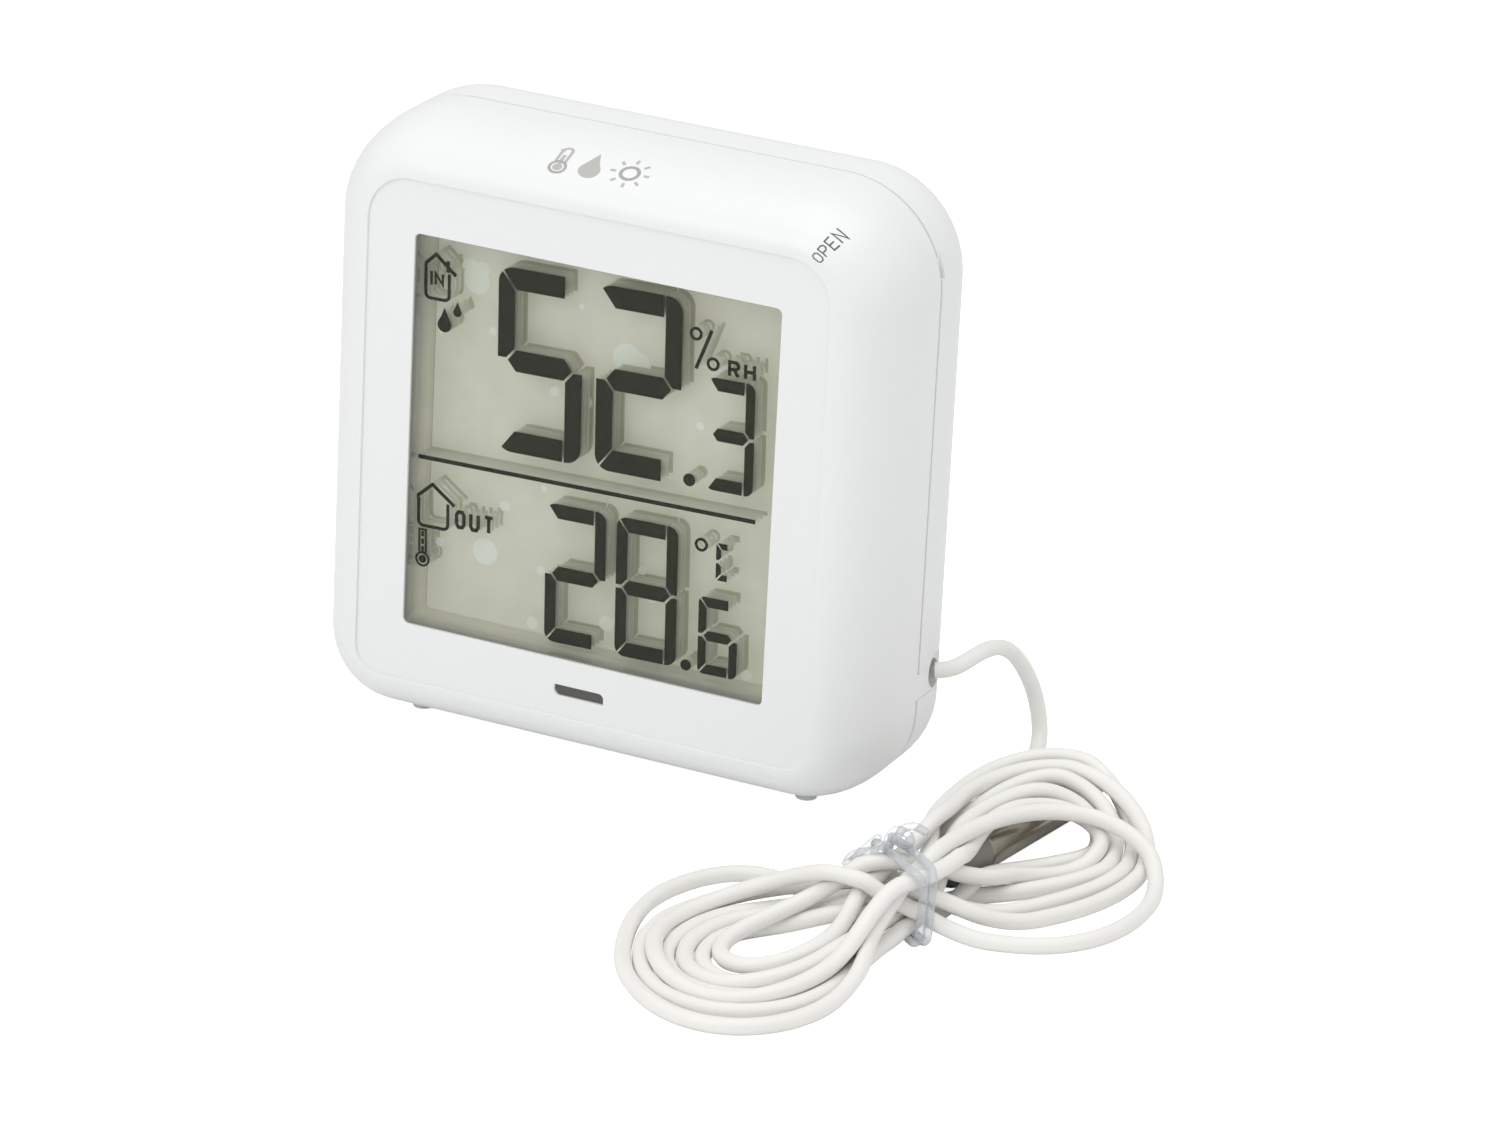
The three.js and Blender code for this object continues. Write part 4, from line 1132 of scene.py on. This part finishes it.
def decal(name, outlines, onto, material):
    """Thin ink that follows a curved surface."""
    bm = bmesh.new()
    for outline in outlines:
        bm.faces.new([bm.verts.new((u, v, 0)) for u, v in outline])
    bmesh.ops.triangulate(bm, faces=bm.faces[:])
    bmesh.ops.subdivide_edges(bm, edges=bm.edges[:], cuts=2, use_grid_fill=True)
    raised = bmesh.ops.extrude_face_region(bm, geom=bm.faces[:])["geom"]
    top = {v for v in raised if isinstance(v, bmesh.types.BMVert)}
    for vert in bm.verts:
        vert.co = onto(vert.co.x, vert.co.y, INK_ABOVE if vert in top else -INK_BELOW)
    from_bmesh(bm, name, material)


def make_marks():
    """A thermometer, a drop and a sun on the top, and the word on the corner."""
    drawn = stroke([(-8.6, 1.35), (-8.6, 3.9)] + arc(-7.9, 3.9, 0.7, 2, 0, 8) + [(-7.2, 1.35)], 0.42)
    drawn += ring_shape(-7.9, 0.6, 1.35, 0.42) + disc(-7.9, 0.6, 0.7)
    drawn += stroke([(-7.9, 0.9), (-7.9, 3.1)], 0.5)
    drawn += drop(-3.4, 4.7, -0.4, 3.1)
    sun = (2.2, 2.1)
    drawn += ring_shape(*sun, 1.5, 0.5)
    for k in range(8):
        way = Vector((math.cos(math.pi / 4 * k), math.sin(math.pi / 4 * k)))
        drawn += stroke([tuple(Vector(sun) + way * r) for r in (2.05, 2.85)], 0.42)
    decal("top_pictogram", drawn, on_top_slope, PRINT_GREY)
    decal("open_mark", word("OPEN", 0, 0, 6.1, 1.9, 0.2, 0.3), on_corner, PRINT_DARK)


make_marks()


# ---- Probe ----
def make_probe():
    radius, sleeve = 3.0, 8.0
    axis, start = Vector(PROBE_AXIS), Vector(PROBE_START)
    bm = bmesh.new()
    profile = [(0.9, -1.6), (1.5, -1.5), (1.9, -1.1), (2.35, 0.2), (2.85, 1.4), (radius + 0.12, 2.6),
               (radius + 0.16, sleeve - 0.4), (radius + 0.12, sleeve), (radius + 0.02, sleeve),
               (1.2, sleeve), (0.9, 0)]
    turned(bm, profile, start, axis, 48)
    shrink = from_bmesh(bm, "probe_shrink_sleeve", SHRINK)
    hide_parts("probe_sleeve")
    bm = bmesh.new()
    end, dome = sleeve + 0.6, radius * 0.8
    wall = [(radius - 0.5, end - 0.3), (radius - 0.15, end - 0.3), (radius, end - 0.1)]
    wall += [(radius * math.cos(a), PROBE_LENGTH - dome + dome * math.sin(a))
             for a in np.linspace(0, math.pi / 2, 10)[:-1]]
    tip = [(0.05, PROBE_LENGTH), (0.05, PROBE_LENGTH - 0.6)]
    inside = [(radius - 0.9, PROBE_LENGTH - radius), (radius - 0.5, PROBE_LENGTH - radius - 1)]
    turned(bm, wall + tip + inside, start, axis, 56)
    tube = from_bmesh(bm, "probe_steel_tube", PROBE_STEEL_PAINTED_REFLECTION)
    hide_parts("probe_tube")
    return [shrink, tube]


# ---- Tie: a clear round cord, twice round the hank and knotted on top ----
TIE_RADIUS = 0.6
TIE_SIDES, TIE_STEPS = 12, 72


def sweep(bm, line, radius, closed=False):
    """A round tube along a line, without twist. Open tubes narrow at their ends."""
    count = len(line)
    points = [Vector(p) for p in line]
    angles = [2 * math.pi * k / TIE_SIDES for k in range(TIE_SIDES)]
    normal = None
    rings = []
    for i in range(count):
        before = points[i - 1] if i or closed else points[0]
        after = points[(i + 1) % count] if i + 1 < count or closed else points[-1]
        run = (after - before).normalized()
        normal = run.orthogonal() if normal is None else normal - run * normal.dot(run)
        normal.normalize()
        other = run.cross(normal)
        r = radius if closed or 0 < i < count - 1 else radius * 0.7
        rings.append([points[i] + r * (math.cos(a) * normal + math.sin(a) * other) for a in angles])
    if closed:
        loops = skin(bm, rings)
        shift = closing_shift(rings[-1], rings[0])
        bridge(bm, loops[-1], loops[0][shift:] + loops[0][:shift])
    else:
        capped(bm, rings)


def closing_shift(last, first):
    """How far to turn the first ring so that it meets the last one without twist."""
    sides = len(first)

    def distance(shift):
        return sum((last[k] - first[(k + shift) % sides]).length for k in range(sides))

    return min(range(sides), key=distance)


def bundle_outline():
    """The tie's line round the strands as (across, height), from the top over the front."""
    rel = cord_line[:, :2] - TIE_CENTRE
    inside = (np.abs(rel @ TIE_ALONG) < 2.4) & (np.abs(rel @ TIE_ACROSS) < 12)
    strands = np.stack([rel[inside] @ TIE_ACROSS, cord_line[inside, 2]], axis=1)
    outline = []
    for i in range(TIE_STEPS):
        a = math.pi / 2 + 2 * math.pi * i / TIE_STEPS
        out = np.array((math.cos(a), math.sin(a)))
        far = strands[np.argmax(strands @ out)]
        outline.append(far + out * (CORD_RADIUS + TIE_RADIUS))
    outline = np.array(outline)
    for _ in range(3):
        outline = (np.roll(outline, 1, 0) + 2 * outline + np.roll(outline, -1, 0)) / 4
    outline[:, 1] = np.maximum(outline[:, 1], TIE_RADIUS + TABLE_GAP)
    return outline


def on_tie(along, across, height):
    return (*(TIE_CENTRE + TIE_ALONG * along + TIE_ACROSS * across), height)


def tie_wrap(bm, outline, at_top, at_front, at_back):
    """One turn of the tie, leaning between its places along the strands."""
    leans = [at_top, at_front, (at_front + at_back) / 2, at_back, at_top]
    line = []
    for i, (across, height) in enumerate(outline):
        lean = np.interp(i / len(outline), [0, 0.25, 0.5, 0.75, 1], leans)
        line.append(on_tie(lean, across, height))
    sweep(bm, line, TIE_RADIUS, closed=True)


def make_tie():
    bm = bmesh.new()
    outline = bundle_outline()
    tie_wrap(bm, outline, -1.5, -0.1, -0.8)
    tie_wrap(bm, outline, 1.4, 1.05, 0.8)
    top, back = outline[0][1], outline[:, 0].max()
    knot = [(-1.7, 0.6, top - 0.2), (-1.2, 2.2, top + 0.9), (0.2, 2.9, top + 1.7), (1.5, 2.0, top + 1.3),
            (1.2, 0.6, top + 0.8), (-0.2, 0.3, top + 1.0), (-1.0, 1.4, top + 1.5), (0.1, 2.2, top + 0.6),
            (1.5, 0.2, top - 0.1)]
    tail = [(-0.6, 1.2, top + 0.7), (0.8, 2.4, top + 1.9), (2.8, 3.0, top + 1.9), (4.6, 2.6, top + 0.9)]
    ear = [(-0.9, 1.2, top + 0.6), (-2.8, 1.4, top - 0.1), (-4.6, back - 3.0, top - 1.8),
           (-5.2, back - 1.6, top - 3.6), (-4.0, back - 0.8, top - 3.9), (-2.5, back - 1.0, top - 2.2),
           (-1.0, back - 2.6, top + 0.1)]
    for points, radius in ((knot, TIE_RADIUS), (tail, TIE_RADIUS * 0.95), (ear, TIE_RADIUS * 0.95)):
        sweep(bm, smooth_curve([on_tie(*p) for p in points], 8), radius)
    tie = from_bmesh(bm, "clear_tie", TIE_CLEAR)
    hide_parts("hank_tie")
    return tie


probe = make_probe()
tie = make_tie()


# ---- Finishes of the CAD parts that show as they are ----
def numbered(name, count):
    return [f"{name}_{number + 1}" for number in range(count)]


CARRIED = (
    (GLASS, ["lcd_glass"]),
    (REFLECTOR, ["lcd_reflector"]),
    (BOARD, ["main_board"]),
    (SLEEVE, numbered("battery", 2)),
    (INNER, ["lcd_holder", "humidity_sensor", "battery_tray", "cable_clamp", "cable_connector"]),
    (RUBBER, ["zebra_strip"] + numbered("tact_switch", 3)),
    (RESIN, ["chip_blob", "capacitor", "indoor_thermistor"]),
    (STEEL, ["quartz_crystal", "clamp_screw"] + numbered("tact_plunger", 3)),
    (STEEL, numbered("board_screw", 2) + numbered("tray_screw", 4)),
    (NICKEL, ["bridge_contact", "positive_contact", "negative_contact"] + numbered("contact_spring", 2)),
)

for material, names in CARRIED:
    for name in names:
        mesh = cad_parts[name].data
        mesh.materials.clear()
        mesh.materials.append(material)


# ---- Floor and light ----
def make_floor():
    """A pale floor that glows for the camera only."""
    bm = bmesh.new()
    half = 3000
    bm.faces.new(add_loop(bm, [(-half, -half, 0), (half, -half, 0), (half, half, 0), (-half, half, 0)]))
    floor = as_object(bm, "floor")
    n = Nodes("floor")
    seen = n.add("ShaderNodeLightPath").outputs["Is Camera Ray"]
    n.feed(n.shader, Base_Color=n.ramp(n.noise(8, 3), (0.9, 0.9, 0.9), (0.93, 0.93, 0.93)), Roughness=0.9,
           Specular_IOR_Level=0.1, Emission_Color=(1, 1, 1, 1), Emission_Strength=n.spread(seen, 0, 0.9))
    floor.data.materials.append(n.material)


def area_light(name, place, size, power, target=(10, -10, 40)):
    """A square light that points at the target. Place, size and target are in millimetres."""
    data = bpy.data.lights.new(name, "AREA")
    data.shape = "SQUARE"
    data.size = size * MM
    data.energy = power
    light = placed(name, data)
    light.location = Vector(place) * MM
    light.rotation_euler = (Vector(target) - Vector(place)).to_track_quat("-Z", "Y").to_euler()


def make_world(strength):
    world = bpy.data.worlds.new("studio")
    world.use_nodes = True
    background = world.node_tree.nodes["Background"]
    background.inputs["Color"].default_value = (1, 1, 1, 1)
    background.inputs["Strength"].default_value = strength
    bpy.context.scene.world = world


make_floor()
make_world(0.7)
area_light("key", (-150, -900, 700), 700, 2.6)
area_light("top", (100, 0, 900), 900, 2.6)
bpy.context.scene.view_settings.view_transform = "Standard"
